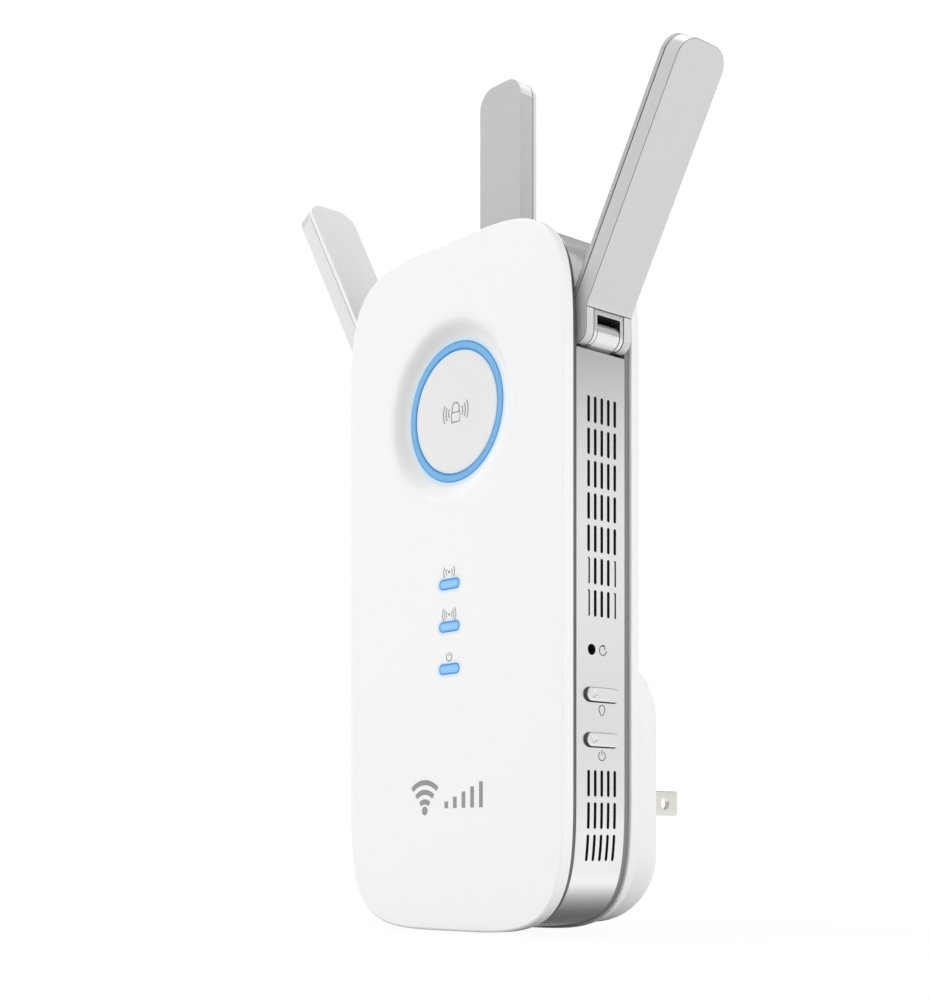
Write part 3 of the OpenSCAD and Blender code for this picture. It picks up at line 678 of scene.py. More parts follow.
# the antennas are one grey plastic; their tones differ per antenna and per face as painted light and shade, set by how
# light falls on each
ANT_RIGHT_PAINTED_SHADING = plastic("mat_antenna_right_painted_shading", [0.67, 0.67, 0.68], rough=0.36, grain=0.05, coat=0.12, vary=0.006)
ANT_LEFT_PAINTED_SHADING = plastic("mat_antenna_left_painted_shading", [0.76, 0.76, 0.77], rough=0.36, grain=0.05, coat=0.12, vary=0.006)
ANT_RIGHT_SIDE_PAINTED_SHADING = plastic("mat_antenna_right_side_painted_shading", [0.56, 0.56, 0.57], rough=0.36, grain=0.05, coat=0.12, vary=0.006)
ANT_EDGE_PAINTED_SHADE = plastic("mat_antenna_edge_painted_shade", [0.20, 0.20, 0.205], rough=0.4, vary=0.006)
ANT_SEAM_PAINTED_SHADE = plastic("mat_antenna_seam_painted_shade", [0.03, 0.03, 0.032], rough=0.6, spec=0.1)
KNUCKLE = plastic("mat_hinge_silver", [0.84, 0.84, 0.85], rough=0.26, metallic=0.7, vary=0.008)
BLADE = metal("mat_blade_nickel", [0.80, 0.78, 0.73], rough=0.28, brushed=(1, 0.06, 1))
STEEL = metal("mat_steel", [0.62, 0.62, 0.64], rough=0.35)
# black plastic for the black parts; on the antenna arm roots it is painted shade
BLACK_AND_PAINTED_SHADE = plastic("mat_black_and_painted_shade", [0.018, 0.018, 0.02], rough=0.5, grain=0.1)
PLUGW = plastic("mat_plug_white", [0.86, 0.86, 0.86], rough=0.5, grain=0.1)
PRINT = plastic("mat_print_grey", [0.30, 0.30, 0.31], rough=0.55, vary=0.01)
PRINT_SIDE = plastic("mat_print_side", [0.20, 0.20, 0.21], rough=0.55, vary=0.01)
RING = glow("mat_ring_blue", [0.185, 0.41, 0.66], [0.045, 0.19, 0.43], 1.0, "ring")
PILL = glow("mat_pill_blue", [0.25, 0.48, 0.80], [0.055, 0.20, 0.46], 1.0, "pill")
PCB = board("mat_pcb", [0.02, 0.16, 0.08])
TIN = metal("mat_tin", [0.72, 0.72, 0.73], rough=0.4)
SINK = metal("mat_sink", [0.66, 0.66, 0.68], rough=0.35, brushed=(1, 1, 0.05))
GOLD = metal("mat_gold", [0.85, 0.62, 0.25], rough=0.25)
PAD = plastic("mat_pad", [0.35, 0.42, 0.6], rough=0.8, grain=0.3)
COPPER = wrapped("mat_copper", [0.55, 0.22, 0.07], [0.75, 0.38, 0.15], 900.0)
TAPE = wrapped("mat_tape", [0.75, 0.55, 0.08], [0.85, 0.66, 0.14], 60.0)
CAPB = wrapped("mat_cap", [0.02, 0.03, 0.09], [0.03, 0.05, 0.14], 40.0)
CERAMIC = plastic("mat_ceramic", [0.75, 0.70, 0.6], rough=0.5)
RED = plastic("mat_lead_red", [0.5, 0.03, 0.03], rough=0.4)
SHEET = plastic("mat_sheet", [0.82, 0.8, 0.72], rough=0.6, grain=0.2)
LEDW = plastic("mat_led", [0.9, 0.92, 0.95], rough=0.3)

# ------------------------------------------------------------------ pieces
ROOT = "root"
record_bodies = frame["bodies"]


def lathe(B, prof, k=128, cx=0.0, cz=RING_Z, close=True):
    """Turns [radius, y] points about the signal button's axis; a closed profile gives a closed solid."""
    rings = []
    for r, y in prof:
        rings.append(ring_y(circle(cx, cz, max(r, 1e-4), k), y))
    idx = [B.add(r) for r in rings]
    for a, b in zip(idx, idx[1:] + ([idx[0]] if close else [])):
        B.strip(a, b)


# ---- front cover
B = Build()
edge_r, K = 0.6, 5
rings = []
for i in range(K + 1):
    a = math.radians(90.0 * i / K)
    rings.append(ring_y(outline(edge_r * (1 - math.sin(a))), edge_r * (1 - math.cos(a))))
Y_COVER = Y_BAND0 - 1.98
for d, y in ((0.0, Y_COVER - 0.12), (0.12, Y_COVER), (1.9, Y_COVER), (1.9, 1.9)):
    rings.append(ring_y(outline(d), y))
B.loft(rings)
DR = 22.0
LW, LH = 7.2, 2.4
pill_edge = [pill(0, z, LW + 0.12, LH + 0.12) for z in lens_z]
pill_lip = [pill(0, z, LW + 0.32, LH + 0.32) for z in lens_z]
B.flat([outline(edge_r), circle(0, RING_Z, DR)] + pill_lip, lift_y(0.0))
B.flat([outline(1.9), circle(0, RING_Z, 24)] + pill_edge, lift_y(1.9))
for a, b in zip(pill_lip, pill_edge):
    B.loft([ring_y(a, 0.0), ring_y(b, 0.1), ring_y(b, 1.9)])
prof = [[DR, 0.0]]
for i in range(1, 17):
    t = i / 16
    prof.append([DR - t * (DR - 17.2), DISH_D * (1 - math.cos(math.pi * t)) / 2])
prof += [[16.60, DISH_D], [16.50, DISH_D + 0.1], [16.50, 4.0], [24, 4.0], [24, 1.9]]
lathe(B, prof, close=False)
front = B.make("cover_shell", 32)
finish_piece(front, ROOT, WHITE, "cover_white", "front_cover")

# ---- front trim: a dark ring in the gap between cover and band
B = Build()
L0, L1 = outline(1.08), outline(3.1)
yb0 = Y_BAND0
rr = [ring_y(L0, Y_COVER + 0.05), ring_y(L0, yb0 - 0.02), ring_y(L1, yb0 - 0.02), ring_y(L1, Y_COVER + 0.05)]
idx = [B.add(r) for r in rr]
for a, b in zip(idx, idx[1:] + [idx[0]]):
    B.strip(a, b)
trim = B.make("trim_front", 32)
finish_piece(trim, ROOT, TRIM_D, "trim_dark", "front_trim")

# ---- silver band and rear trim
RX, RZ = 34.0, 130.4


def clip_sides(L, x, z):
    """Outline whose sides step in to |x| above height z, for the antenna recesses."""
    out = []
    n = len(L)
    for i in range(n):
        p, q = L[i], L[(i + 1) % n]
        pc = np.array([np.clip(p[0], -x, x), p[1]]) if p[1] > z else p
        if not out or np.linalg.norm(out[-1] - pc) > 1e-6:
            out.append(pc)
        if (p[1] > z) != (q[1] > z) and max(abs(p[0]), abs(q[0])) > x:
            t = (z - p[1]) / (q[1] - p[1])
            m = p + (q - p) * t
            mc = np.array([np.clip(m[0], -x, x), z])
            out.extend([m, mc] if q[1] > z else [mc, m])
    return np.array(out)


def swept_ring(outer, inner, y0, y1, bev=0.14):
    B = Build()
    rr = [ring_y(inset_loop(outer, bev), y0), ring_y(outer, y0 + bev), ring_y(outer, y1 - bev), ring_y(inset_loop(outer, bev), y1)]
    io = [B.add(r) for r in rr]
    B.strip(io[0], io[1]); B.strip(io[1], io[2]); B.strip(io[2], io[3])
    ii = [B.add(ring_y(inner, y0)), B.add(ring_y(inner, y1))]
    B.strip(ii[1], ii[0])
    for s, y in ((0, y0), (3, y1)):
        o2 = inset_loop(outer, bev)
        B.flat([o2, inner], lift_y(y))
    return B


BI = HW - band_hi.x * 1000
outer = clip_sides(outline(BI), RX, RZ)
inner = clip_sides(outline(BI + 1.8), RX - 1.8, RZ - 1.8)
B = swept_ring(outer, inner, Y_BAND0, Y_BAND1)
band = B.make("band_side", 0)

cutters = []


def slot_cut(y, z1, l, x0, x1, w=0.86):
    B = Build()
    L = pill(0, 0, l, w, 6)
    L = np.c_[y + L[:, 1], z1 - l / 2 + L[:, 0]]
    B.loft([ring_x(L, x0), ring_x(L, x1)], cap0=True, cap1=True)
    cutters.append(B.make("c", 0))


for side in (1, -1):
    rows = [(120.3 - 7.2 * r, r >= 5) for r in range(7)]
    for z1, last in rows:
        for c in range(5):
            blind = last and c in (0, 4)
            xs = sorted((side * (36.95 if blind else 33), side * 40))
            slot_cut(8.84 + 2.1 * c, z1, 6.0, *xs)
    if side == 1:
        for r in range(3):
            for c in range(5):
                slot_cut(8.84 + 2.1 * c, 36.9 - 7.2 * r, 6.0, 32, 40)
for z in (Z_LED, Z_POW):
    B = Build()
    L = pill(0, 0, 11.15, 3.45, 12)
    L = np.c_[Y_BTN - 0.14 + L[:, 0], z - 0.1 + L[:, 1]]
    B.loft([ring_x(L, 33), ring_x(L, 40)], cap0=True, cap1=True)
    cutters.append(B.make("c", 0))
RESET_Z = body_z((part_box("reset_plunger")[0].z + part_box("reset_plunger")[1].z) / 2)
B = Build()
L = circle(9.8, RESET_Z, 1.25, 40)
B.loft([ring_x(L, 33), ring_x(L, 40)], cap0=True, cap1=True)
cutters.append(B.make("c", 0))
# network socket opening, left side
L = np.array([[7.6, 22.4], [19.8, 22.4], [19.8, 38.6], [7.6, 38.6]])
B = Build()
B.loft([ring_x(L, -42), ring_x(L, -30)], cap0=True, cap1=True)
cutters.append(B.make("c", 0))
# arm slots of the side antennas
for s in (1, -1):
    cutters.append(box_obj([min(s * 30, s * 36), HINGE_R[1] - 3.75, RZ - 0.15], [max(s * 30, s * 36), HINGE_R[1] + 3.75, 136.8]))
boolean(band, join(cutters), smooth=32)
# opening for the top antenna, as deep as the antenna that folds into it
NX, NY = 7.6, 15.8
boolean(band, box_obj([-NX, NY, 150], [NX, 40, 172]), smooth=32)
finish_piece(band, ROOT, SILVER, "band_silver", "side_band")
paint_inside_shade(band, INSIDE_PAINTED_SHADE)

B = swept_ring(outline(BI + 0.15), outline(BI + 1.8), Y_BAND1 + 0.02, Y_TRIM1 - 0.02, bev=0.05)
rtrim = B.make("trim_rear", 0)
boolean(rtrim, box_obj([-NX, NY, 150], [NX, 40, 172]), smooth=32)
finish_piece(rtrim, ROOT, TRIM_G, "trim_grey", "rear_trim")

# ---- rear cover with the plug housing and the well of the top antenna
FR, BACK = 8.0, 29.4
BHW, BZ0, BZ1, BR, BE = 22.3, 1.2, 68.5, 17.0, 12.0


def back_loft(d, y0, name, front_extra=None):
    B = Build()
    rings = []
    if front_extra is not None:
        rings.append(ring_y(outline(3.4), front_extra))
        rings.append(ring_y(outline(3.4), Y_TRIM1 + 0.1))
    r = FR - d
    if d == 0:
        rings.append(ring_y(outline(0.55), Y_TRIM1 + 0.02))
        rings.append(ring_y(outline(0.4), Y_TRIM1 + 0.17))
        a0 = math.asin((Y_TRIM1 + 0.3 - (BACK - FR)) / r)
    else:
        rings.append(ring_y(outline(0.4 + d), y0))
        a0 = math.asin((Y_TRIM1 + 0.3 - (BACK - FR)) / r)
    n = 12
    for i in range(n + 1):
        a = a0 + (math.pi / 2 - a0) * i / n
        rings.append(ring_y(outline(0.4 + d + r * (1 - math.cos(a))), BACK - FR + r * math.sin(a)))
    B.loft(rings, cap0=True, cap1=True)
    return B.make(name, 0)


def plug_loft(d, y0, name):
    B = Build()
    r = BE - d
    rings = [ring_y(rrect(BHW - d, BZ0 + d, BZ1 - d, BR - d), y0)]
    n = 12
    for i in range(n + 1):
        a = math.pi / 2 * i / n
        dd = d + r * (1 - math.cos(a))
        rings.append(ring_y(rrect(BHW - dd, BZ0 + dd, BZ1 - dd, max(BR - dd, 2)), Y_WALL - BE + r * math.sin(a)))
    B.loft(rings, cap0=True, cap1=True)
    return B.make(name, 0)


rear = back_loft(0, None, "cover_rear")
boolean(rear, plug_loft(0, 24.0, "c"), "UNION", smooth=0)
hollow = back_loft(2.0, Y_TRIM1 - 2, "c")
boolean(hollow, plug_loft(2.0, 23.0, "c2"), "UNION", smooth=0)
boolean(rear, hollow, smooth=0)
liner = box_obj([-9.1, 14.35, 135.7], [9.1, 40, 170])
bs = back_loft(0, None, "c3", front_extra=14.0)
boolean(liner, bs, "INTERSECT", smooth=0)
boolean(rear, liner, "UNION", smooth=0)
cutters = [box_obj([-NX, NY, 137.2], [NX, 50, 172])]
for i in range(-4, 5):
    B = Build()
    L = pill(0, 0, 14, 1.2, 6)
    L = np.c_[i * 4 + L[:, 1], 103 + L[:, 0]]
    B.loft([ring_y(L, 20), ring_y(L, 40)], cap0=True, cap1=True)
    cutters.append(B.make("c", 0))
for x, z in ((27.5, 17), (-27.5, 17), (26, 146), (-26, 146)):
    B = Build()
    L = circle(x, z, 2.6, 40)
    B.loft([ring_y(L, 25), ring_y(L, 42)], cap0=True, cap1=True)
    cutters.append(B.make("c", 0))
L = rrect(9.5, Z_BLADE - 10.3, Z_BLADE + 10.3, 4.1)
B = Build()
B.loft([ring_y(L, 45), ring_y(L, 62)], cap0=True, cap1=True)
cutters.append(B.make("c", 0))
boolean(rear, join(cutters), smooth=0)
boolean(rear, box_obj([-3.75, 10, 137.3], [3.75, 17, 144.8]), smooth=32)
finish_piece(rear, ROOT, REAR, "rear_white", "rear_cover")

# ---- plug insert and blades
B = Build()
L = rrect(9.4, Z_BLADE - 10.2, Z_BLADE + 10.2, 4.0)
bx0, bx1 = bl_lo.x * 1000, bl_hi.x * 1000
bz0, bz1 = body_z(bl_lo.z), body_z(bl_hi.z)
holes = []
for s in (1, -1):
    holes.append(np.array([[s * bx0 - s * 0.06, bz0 - 0.06], [s * bx1 + s * 0.06, bz0 - 0.06], [s * bx1 + s * 0.06, bz1 + 0.06], [s * bx0 - s * 0.06, bz1 + 0.06]]))
prism(B, L, ring_y, 50.0, Y_WALL, bev=0.3, holes=holes)
base = B.make("plug_insert", 32)
finish_piece(base, ROOT, PLUGW, "plug_white", "plug_base")

y_tip = body_y(bl_hi.y)
for side, node in ((1, "plug_blade_right"), (-1, "plug_blade_left")):
    lo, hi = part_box(node)
    x0, x1 = lo.x * 1000, hi.x * 1000
    B = Build()
    hole = circle(y_tip - 4.7, Z_BLADE, 1.6, 48)
    r = 0.7
    L = [[42.0, bz0], [y_tip - r, bz0]] + [[y_tip - r + r * math.sin(a), bz0 + r - r * math.cos(a)] for a in np.linspace(0.2, math.pi / 2, 6)] + \
        [[y_tip - r + r * math.cos(a), bz1 - r + r * math.sin(a)] for a in np.linspace(0.0, math.pi / 2, 7)] + [[42.0, bz1]]
    L = np.array(L)
    # flat sides, chamfered towards the tip
    prism(B, L, ring_x, x0, x1, bev=0.16, holes=[hole])
    ob = B.make("blade_" + ("right" if side == 1 else "left"), 32)
    finish_piece(ob, ROOT, BLADE, "blade_nickel", node)

# ---- signal button, light ring, lenses
BR0 = 14.45
B = Build()
prof = [[0.001, DISH_D]] + [[BR0 - 0.3 + 0.3 * math.sin(a), DISH_D + 0.3 - 0.3 * math.cos(a)] for a in np.linspace(0, math.pi / 2, 5)] + \
    [[BR0, 3.5], [15.5, 3.5], [15.5, 4.0], [0.001, 4.0]]
lathe(B, prof, close=False)
key = B.make("button_signal", 32)
finish_piece(key, "signal_key", BUTTON, "button_white", "signal_button")

B = Build()
r0, r1 = 14.6, 16.58
yt = DISH_D - 0.08
prof = [[r0, 3.4], [r0, yt + 0.22]]
for i in range(9):
    a = math.pi * i / 8
    prof.append([(r0 + r1) / 2 - (r1 - r0) / 2 * math.cos(a) * 0.985, yt + 0.2 - 0.2 * math.sin(a)])
prof += [[r1, yt + 0.22], [r1, 4.0]]
lathe(B, prof, close=True)
ringp = B.make("ring_light", 40)
finish_piece(ringp, ROOT, RING, "glow_blue", "led_ring")

for n, (node, z) in enumerate(zip(("indicator_lens_upper", "indicator_lens_middle", "indicator_lens_lower"), lens_z)):
    B = Build()
    L = pill(0, z, LW, LH, 12)
    rings = []
    for i in range(5):
        a = math.radians(90 * i / 4)
        rings.append(ring_y(inset_loop(L, 0.35 * (1 - math.sin(a))), 0.02 + 0.16 * (1 - math.cos(a))))
    rings.append(ring_y(L, 1.85))
    B.loft(rings, cap0=True, cap1=True)
    ob = B.make("lens_" + ("upper", "middle", "lower")[n], 45)
    finish_piece(ob, ROOT, PILL, "glow_blue", node)

# ---- side buttons with a round finger dimple
for name, node, body, z in (("button_led", "led_button", "led_key", Z_LED), ("button_power", "power_button", "power_key", Z_POW)):
    B = Build()
    L = pill(0, 0, 10.75, 3.15, 16)
    L = np.c_[Y_BTN + L[:, 0], z + L[:, 1]]
    dc = circle(9.85, z, 0.95, 32)


    def top(P, sink=0.0):
        P = np.asarray(P, float)
        t = (P[:, 0] - (Y_BTN - 5.4)) / 10.8
        return np.c_[X_BTN + 0.40 - 0.36 * t - sink, P[:, 0], P[:, 1]]
    rings = [ring_x(L, 34.4)]
    for i in range(5):
        a = math.radians(90 * i / 4)
        rings.append(top(inset_loop(L, 0.25 * (1 - math.cos(a))), 0.25 * (1 - math.sin(a))))
    B.loft(rings, cap0=True)
    B.flat([inset_loop(L, 0.25), dc], lambda p: top([p])[0])
    dr = [top(circle(9.85, z, r_, 32), s_) for r_, s_ in ((0.95, 0), (0.92, 0.03), (0.84, 0.13), (0.74, 0.21), (0.62, 0.24))]
    B.loft(dr, cap1=True)
    ob = B.make(name, 32)
    finish_piece(ob, body, SILVER_B, "button_silver", node)
    # the button's side walls get a dark grey tone: painted shade in the gap around the button
    ob.data.materials.append(BTN_SIDE_PAINTED_SHADE)
    for p in ob.data.polygons:
        if abs(p.normal.x) < 0.45 and abs(p.center.y * 1000 - YF * 1000 - Y_BTN) > -1 and p.center.x * 1000 < X_BTN + 0.4 and abs(p.normal.x) < 0.3:
            p.material_index = 1

# ---- antennas
T, W, THIN, BZ, LEN, TR = 5.4, 14.4, 1.2, 5.1, 57.3, 4.6
Hh = T / 2


def path(n, b, z0, zt_extra=0.0):
    """Side line of the paddle at depth n from its thin side: [x, z] points from z0 to the tip."""
    tb = math.tan(b / 2)
    end = np.array([-Hh + n, BZ + (T - n) * tb]) + np.array([math.sin(b), math.cos(b)]) * (LEN + (T - n) * tb + zt_extra)
    pts = [np.array([-Hh + n, z0])]
    if b > 0.01:
        R = 4.0
        c = np.array([Hh + R, BZ - R * tb])
        r = R + (T - n)
        for i in range(13):
            th = b * i / 12
            pts.append(c + r * np.array([-math.cos(th), math.sin(th)]))
    pts.append(end)
    return pts


def upper_pts(b, P):
    """Points of the splayed part's own frame, whose outer face is x = 0 and whose z runs along it."""
    P = np.asarray(P, float)
    x = Hh + P[:, 0] * math.cos(b) + P[:, 2] * math.sin(b)
    z = BZ - P[:, 0] * math.sin(b) + P[:, 2] * math.cos(b)
    return np.c_[x, P[:, 1], z]


def tip_cut(b, inset=0.0):
    """The two corners of the tip, as cutters in the antenna's frame."""
    obs = []
    for s in (1, -1):
        arc = [[s * (W / 2 - TR + (TR - inset) * math.cos(a)), LEN - TR + (TR - inset) * math.sin(a)] for a in np.linspace(0.02, math.pi / 2 - 0.02, 13)]
        L = [[s * (W / 2 + 0.4), LEN - TR - 3.0], *arc, [s * (W / 2 - TR - 3.0), LEN + 0.4], [s * (W / 2 - TR), LEN + 8], [s * (W / 2 + 8), LEN + 8], [s * (W / 2 + 8), LEN - TR]]
        lo = upper_pts(b, [[-25, p[0], p[1]] for p in L])
        hi = upper_pts(b, [[15, p[0], p[1]] for p in L])
        B = Build()
        B.loft([lo, hi], cap0=True, cap1=True)
        obs.append(B.make_raw("c"))
    return obs


def make_raw(self, name):
    """An object whose vertices stay in local millimetres."""
    me = bpy.data.meshes.new(name)
    me.from_pydata([list(map(float, p)) for p in self.v], [], self.f)
    bm = bmesh.new()
    bm.from_mesh(me)
    bmesh.ops.remove_doubles(bm, verts=bm.verts, dist=1e-5)
    bmesh.ops.recalc_face_normals(bm, faces=bm.faces)
    bm.to_mesh(me)
    bm.free()
    ob = bpy.data.objects.new(name, me)
    bpy.context.scene.collection.objects.link(ob)
    return ob


Build.make_raw = make_raw


def raw_extrude(L, y0, y1):
    """Side profile [x, z] given width from y0 to y1, in local millimetres."""
    B = Build()
    L = np.asarray(L)
    B.loft([np.c_[L[:, 0], np.full(len(L), y0), L[:, 1]], np.c_[L[:, 0], np.full(len(L), y1), L[:, 1]]], cap0=True, cap1=True)
    return B.make_raw("x")


def raw_box(lo, hi, xf=None):
    B = Build()
    c = np.array([[lo[0], lo[1]], [hi[0], lo[1]], [hi[0], hi[1]], [lo[0], hi[1]]])
    P = [np.c_[c, np.full(4, lo[2])], np.c_[c, np.full(4, hi[2])]]
    if xf:
        P = [xf(p) for p in P]
    B.loft(P, cap0=True, cap1=True)
    return B.make_raw("x")


def raw_bool(ob, others, op="DIFFERENCE"):
    for o in others:
        m = ob.modifiers.new("b", "BOOLEAN")
        m.operation = op
        m.solver = "EXACT"
        m.object = o
        apply_mods(ob)
        bpy.data.objects.remove(o)
    bm = bmesh.new()
    bm.from_mesh(ob.data)
    bmesh.ops.remove_doubles(bm, verts=bm.verts, dist=2e-4)
    bmesh.ops.dissolve_degenerate(bm, dist=1e-4, edges=bm.edges)
    bmesh.ops.dissolve_limit(bm, angle_limit=math.radians(0.3), verts=bm.verts, edges=bm.edges)
    bm.to_mesh(ob.data)
    bm.free()


def raw_bevel(ob, w, seg=3, angle=28, material=-1):
    if material >= 0:
        while len(ob.data.materials) <= material:
            ob.data.materials.append(None)
    # merge slivers first: the bevel is clamped to the shortest edge it meets
    bm = bmesh.new()
    bm.from_mesh(ob.data)
    bmesh.ops.remove_doubles(bm, verts=bm.verts, dist=0.02)
    bmesh.ops.dissolve_limit(bm, angle_limit=math.radians(0.4), verts=bm.verts, edges=bm.edges, use_dissolve_boundaries=False)
    bm.to_mesh(ob.data)
    bm.free()
    m = ob.modifiers.new("bev", "BEVEL")
    m.material = material
    m.width = w
    m.segments = seg
    m.limit_method = "ANGLE"
    m.angle_limit = math.radians(angle)
    m.use_clamp_overlap = material < 0
    m.miter_outer = "MITER_ARC" if seg > 2 else "MITER_SHARP"
    apply_mods(ob)


def place_raw(ob, name, fn, smooth=32):
    """Local antenna millimetres to the row frame."""
    me = ob.data
    co = np.zeros(len(me.vertices) * 3)
    me.vertices.foreach_get("co", co)
    co = co.reshape(-1, 3)
    before = np.linalg.det(np.array(fn(np.array([[1, 0, 0], [0, 1, 0], [0, 0, 1.0]])) - fn(np.zeros((3, 3)))))
    me.vertices.foreach_set("co", to_m(fn(co)).ravel())
    me.update()
    if before < 0:
        me.flip_normals()
    ob.name = name
    me.name = name
    shade(ob, smooth)
    return ob


def at_right(p):
    return p + HINGE_R


def at_left(p):
    return p * np.array([-1, 1, 1]) + HINGE_R * np.array([-1, 1, 1])


def at_top(p):
    return np.c_[p[:, 1], -p[:, 0], p[:, 2]] + HINGE_T


def at_top_arm(p):
    return np.c_[-p[:, 1], p[:, 0], p[:, 2]] + HINGE_T


PIN_R = 1.02


def circ_local(r, y, n=48, a0=0.0, cx=0.0, cz=0.0):
    a = np.linspace(0, 2 * math.pi, n, endpoint=False) + a0
    return np.c_[cx + r * np.cos(a), np.full(n, y), cz + r * np.sin(a)]


def antenna(prefix, body, place, arm_place, splay, mats, slots):
    b = math.radians(splay)
    gap = 0.14 if prefix == "right" else 0.09
    # thick outer shell with the fork
    outer = path(T, b, 0.0)
    seam = path(THIN + gap, b, 5.0)
    fork = [[Hh * math.cos(a), Hh * math.sin(a)] for a in np.linspace(0, -math.pi, 25)]
    L = [list(p) for p in seam] + [list(p) for p in reversed(outer)] + fork[1:] + [[-Hh, 5.0]]
    o = raw_extrude(L, -W / 2, W / 2)
    cuts = tip_cut(b)
    cuts.append(raw_box([-6, -4.8, -7], [6, 4.8, 4.87]))
    cuts.append(raw_box([-T + THIN - 1, -W / 2 + 1.2, 3.6], [-1, W / 2 - 1.2, LEN - 2.8], lambda p: upper_pts(b, p)))
    raw_bool(o, cuts)
    raw_bevel(o, 0.12, 2, angle=38, material=1)
    place_raw(o, prefix + "_shell_outer", place)
    finish_piece(o, body, mats[0], slots[0], prefix + "_antenna_outer")
    # on the right antenna the bevel faces get a dark tone: a painted shade line along the edges
    o.data.materials.append(ANT_EDGE_PAINTED_SHADE if prefix == "right" else mats[0])
    broad = Vector(place(np.array([[math.cos(b), 0, -math.sin(b)]]))[0] - place(np.zeros((1, 3)))[0])
    # narrow side faces get a tone of their own per antenna: painted light and shade
    if prefix in SIDE_PAINTED_SHADING:
        o.data.materials.append(SIDE_PAINTED_SHADING[prefix])
        for p in o.data.polygons:
            if p.material_index == 0 and p.center.z > LEGS_Z and abs(p.normal.dot(broad)) < 0.5:
                p.material_index = 2
            elif p.material_index == 0 and prefix == "right" and abs(p.normal.y) > 0.7:
                p.material_index = 2
    # thin inner shell
    L = [list(p) for p in path(0, b, 5.06)] + [list(p) for p in reversed(path(THIN - gap, b, 5.06))]
    i_ = raw_extrude(L, -W / 2, W / 2)
    raw_bool(i_, tip_cut(b))
    raw_bevel(i_, 0.16, 2)
    place_raw(i_, prefix + "_shell_inner", place)
    finish_piece(i_, body, mats[1], slots[0], prefix + "_antenna_inner")
    # narrow faces of the thin shell get a tone of their own per antenna: painted light and shade
    i_.data.materials.append({"right": ANT_RIGHT_THIN_PAINTED_SHADING, "top": ANT_TOP_SIDE_PAINTED_SHADING, "left": ANT_LEFT_THIN_PAINTED_SHADING}[prefix])
    for p in i_.data.polygons:
        if abs(p.normal.dot(broad)) < 0.5:
            p.material_index = 1
    # near-black strip at the bottom of the seam gap: painted shade in the seam
    L = [list(p) for p in path(THIN - 0.2, b, 5.3, -0.22)] + [list(p) for p in reversed(path(THIN + 0.2, b, 5.3, -0.22))]
    s_ = raw_extrude(L, -W / 2 + 0.22, W / 2 - 0.22)
    cuts = []
    raw_bool(s_, tip_cut(b, 0.22))
    place_raw(s_, prefix + "_seam", place)
    finish_piece(s_, body, ANT_SEAM_PAINTED_SHADE, "black_plastic")
    # yoke between the fork legs
    L = [[Hh, 4.72]] + [[-Hh, 4.72]] + [[Hh * math.cos(a), Hh * math.sin(a)] for a in np.linspace(-math.pi, 0, 25)]
    y_ = raw_extrude(L, -4.62, 4.62)
    raw_bool(y_, [raw_box([-6, -3.66, -7], [6, 3.66, 3.6])])
    raw_bevel(y_, 0.14, 2)
    y_.data.materials.append(None)
    y_.data.materials.append(None)
    # faces inside the window get the near-black material: painted shade
    for p in y_.data.polygons:
        c, n = p.center, p.normal
        if (abs(c.y) < 3.62 and n.z < -0.5 and abs(c.z - 3.6) < 0.2) or (abs(abs(c.y) - 3.66) < 0.02 and n.y * c.y < 0 and abs(n.y) > 0.9):
            p.material_index = 1
    place_raw(y_, prefix + "_yoke", place)
    finish_piece(y_, body, mats[2], slots[1], prefix + "_antenna_yoke")
    y_.data.materials.append(INSIDE_PAINTED_SHADE)
    # closed back of the window, above the arm: a near-black plate, painted shade where the window shows only shade
    bp = raw_box([-2.62, -3.63, 2.8], [-2.0, 3.63, 3.58])
    place_raw(bp, prefix + "_window_back", place)
    finish_piece(bp, body, INSIDE_PAINTED_SHADE, "black_plastic")
    # knuckle of the body's arm
    arm = raw_extrude([[0.9, -2.42], [-1.1, -3.4], [-6.4, -3.4], [-6.4, -1.2], [-1.2, -1.2], [0, 0]][::-1], -3.48, 3.48)
    B = Build()
    B.loft([circ_local(2.6, -3.48, 56), circ_local(2.6, 3.48, 56)], cap0=True, cap1=True)
    brl = B.make_raw("x")
    raw_bool(arm, [brl], "UNION")
    raw_bevel(arm, 0.1, 2, 40)
    place_raw(arm, prefix + "_arm", arm_place, 30)
    finish_piece(arm, ROOT, mats[2], slots[1], prefix + "_knuckle")
    # root of the arm behind the window, near-black: painted shade standing in for the shade in the recess
    up = raw_extrude([[-2.3, -1.15], [-6.38, -1.15], [-6.38, 2], [-2.3, 2.15]][::-1], -3.4, 3.4)
    fl = raw_box([-6.45, -4.9, -5.6], [-4.95, 4.9, 4])
    raw_bool(up, [fl], "UNION")
    place_raw(up, prefix + "_arm_root", arm_place, 30)
    finish_piece(up, ROOT, BLACK_AND_PAINTED_SHADE, "black_plastic")

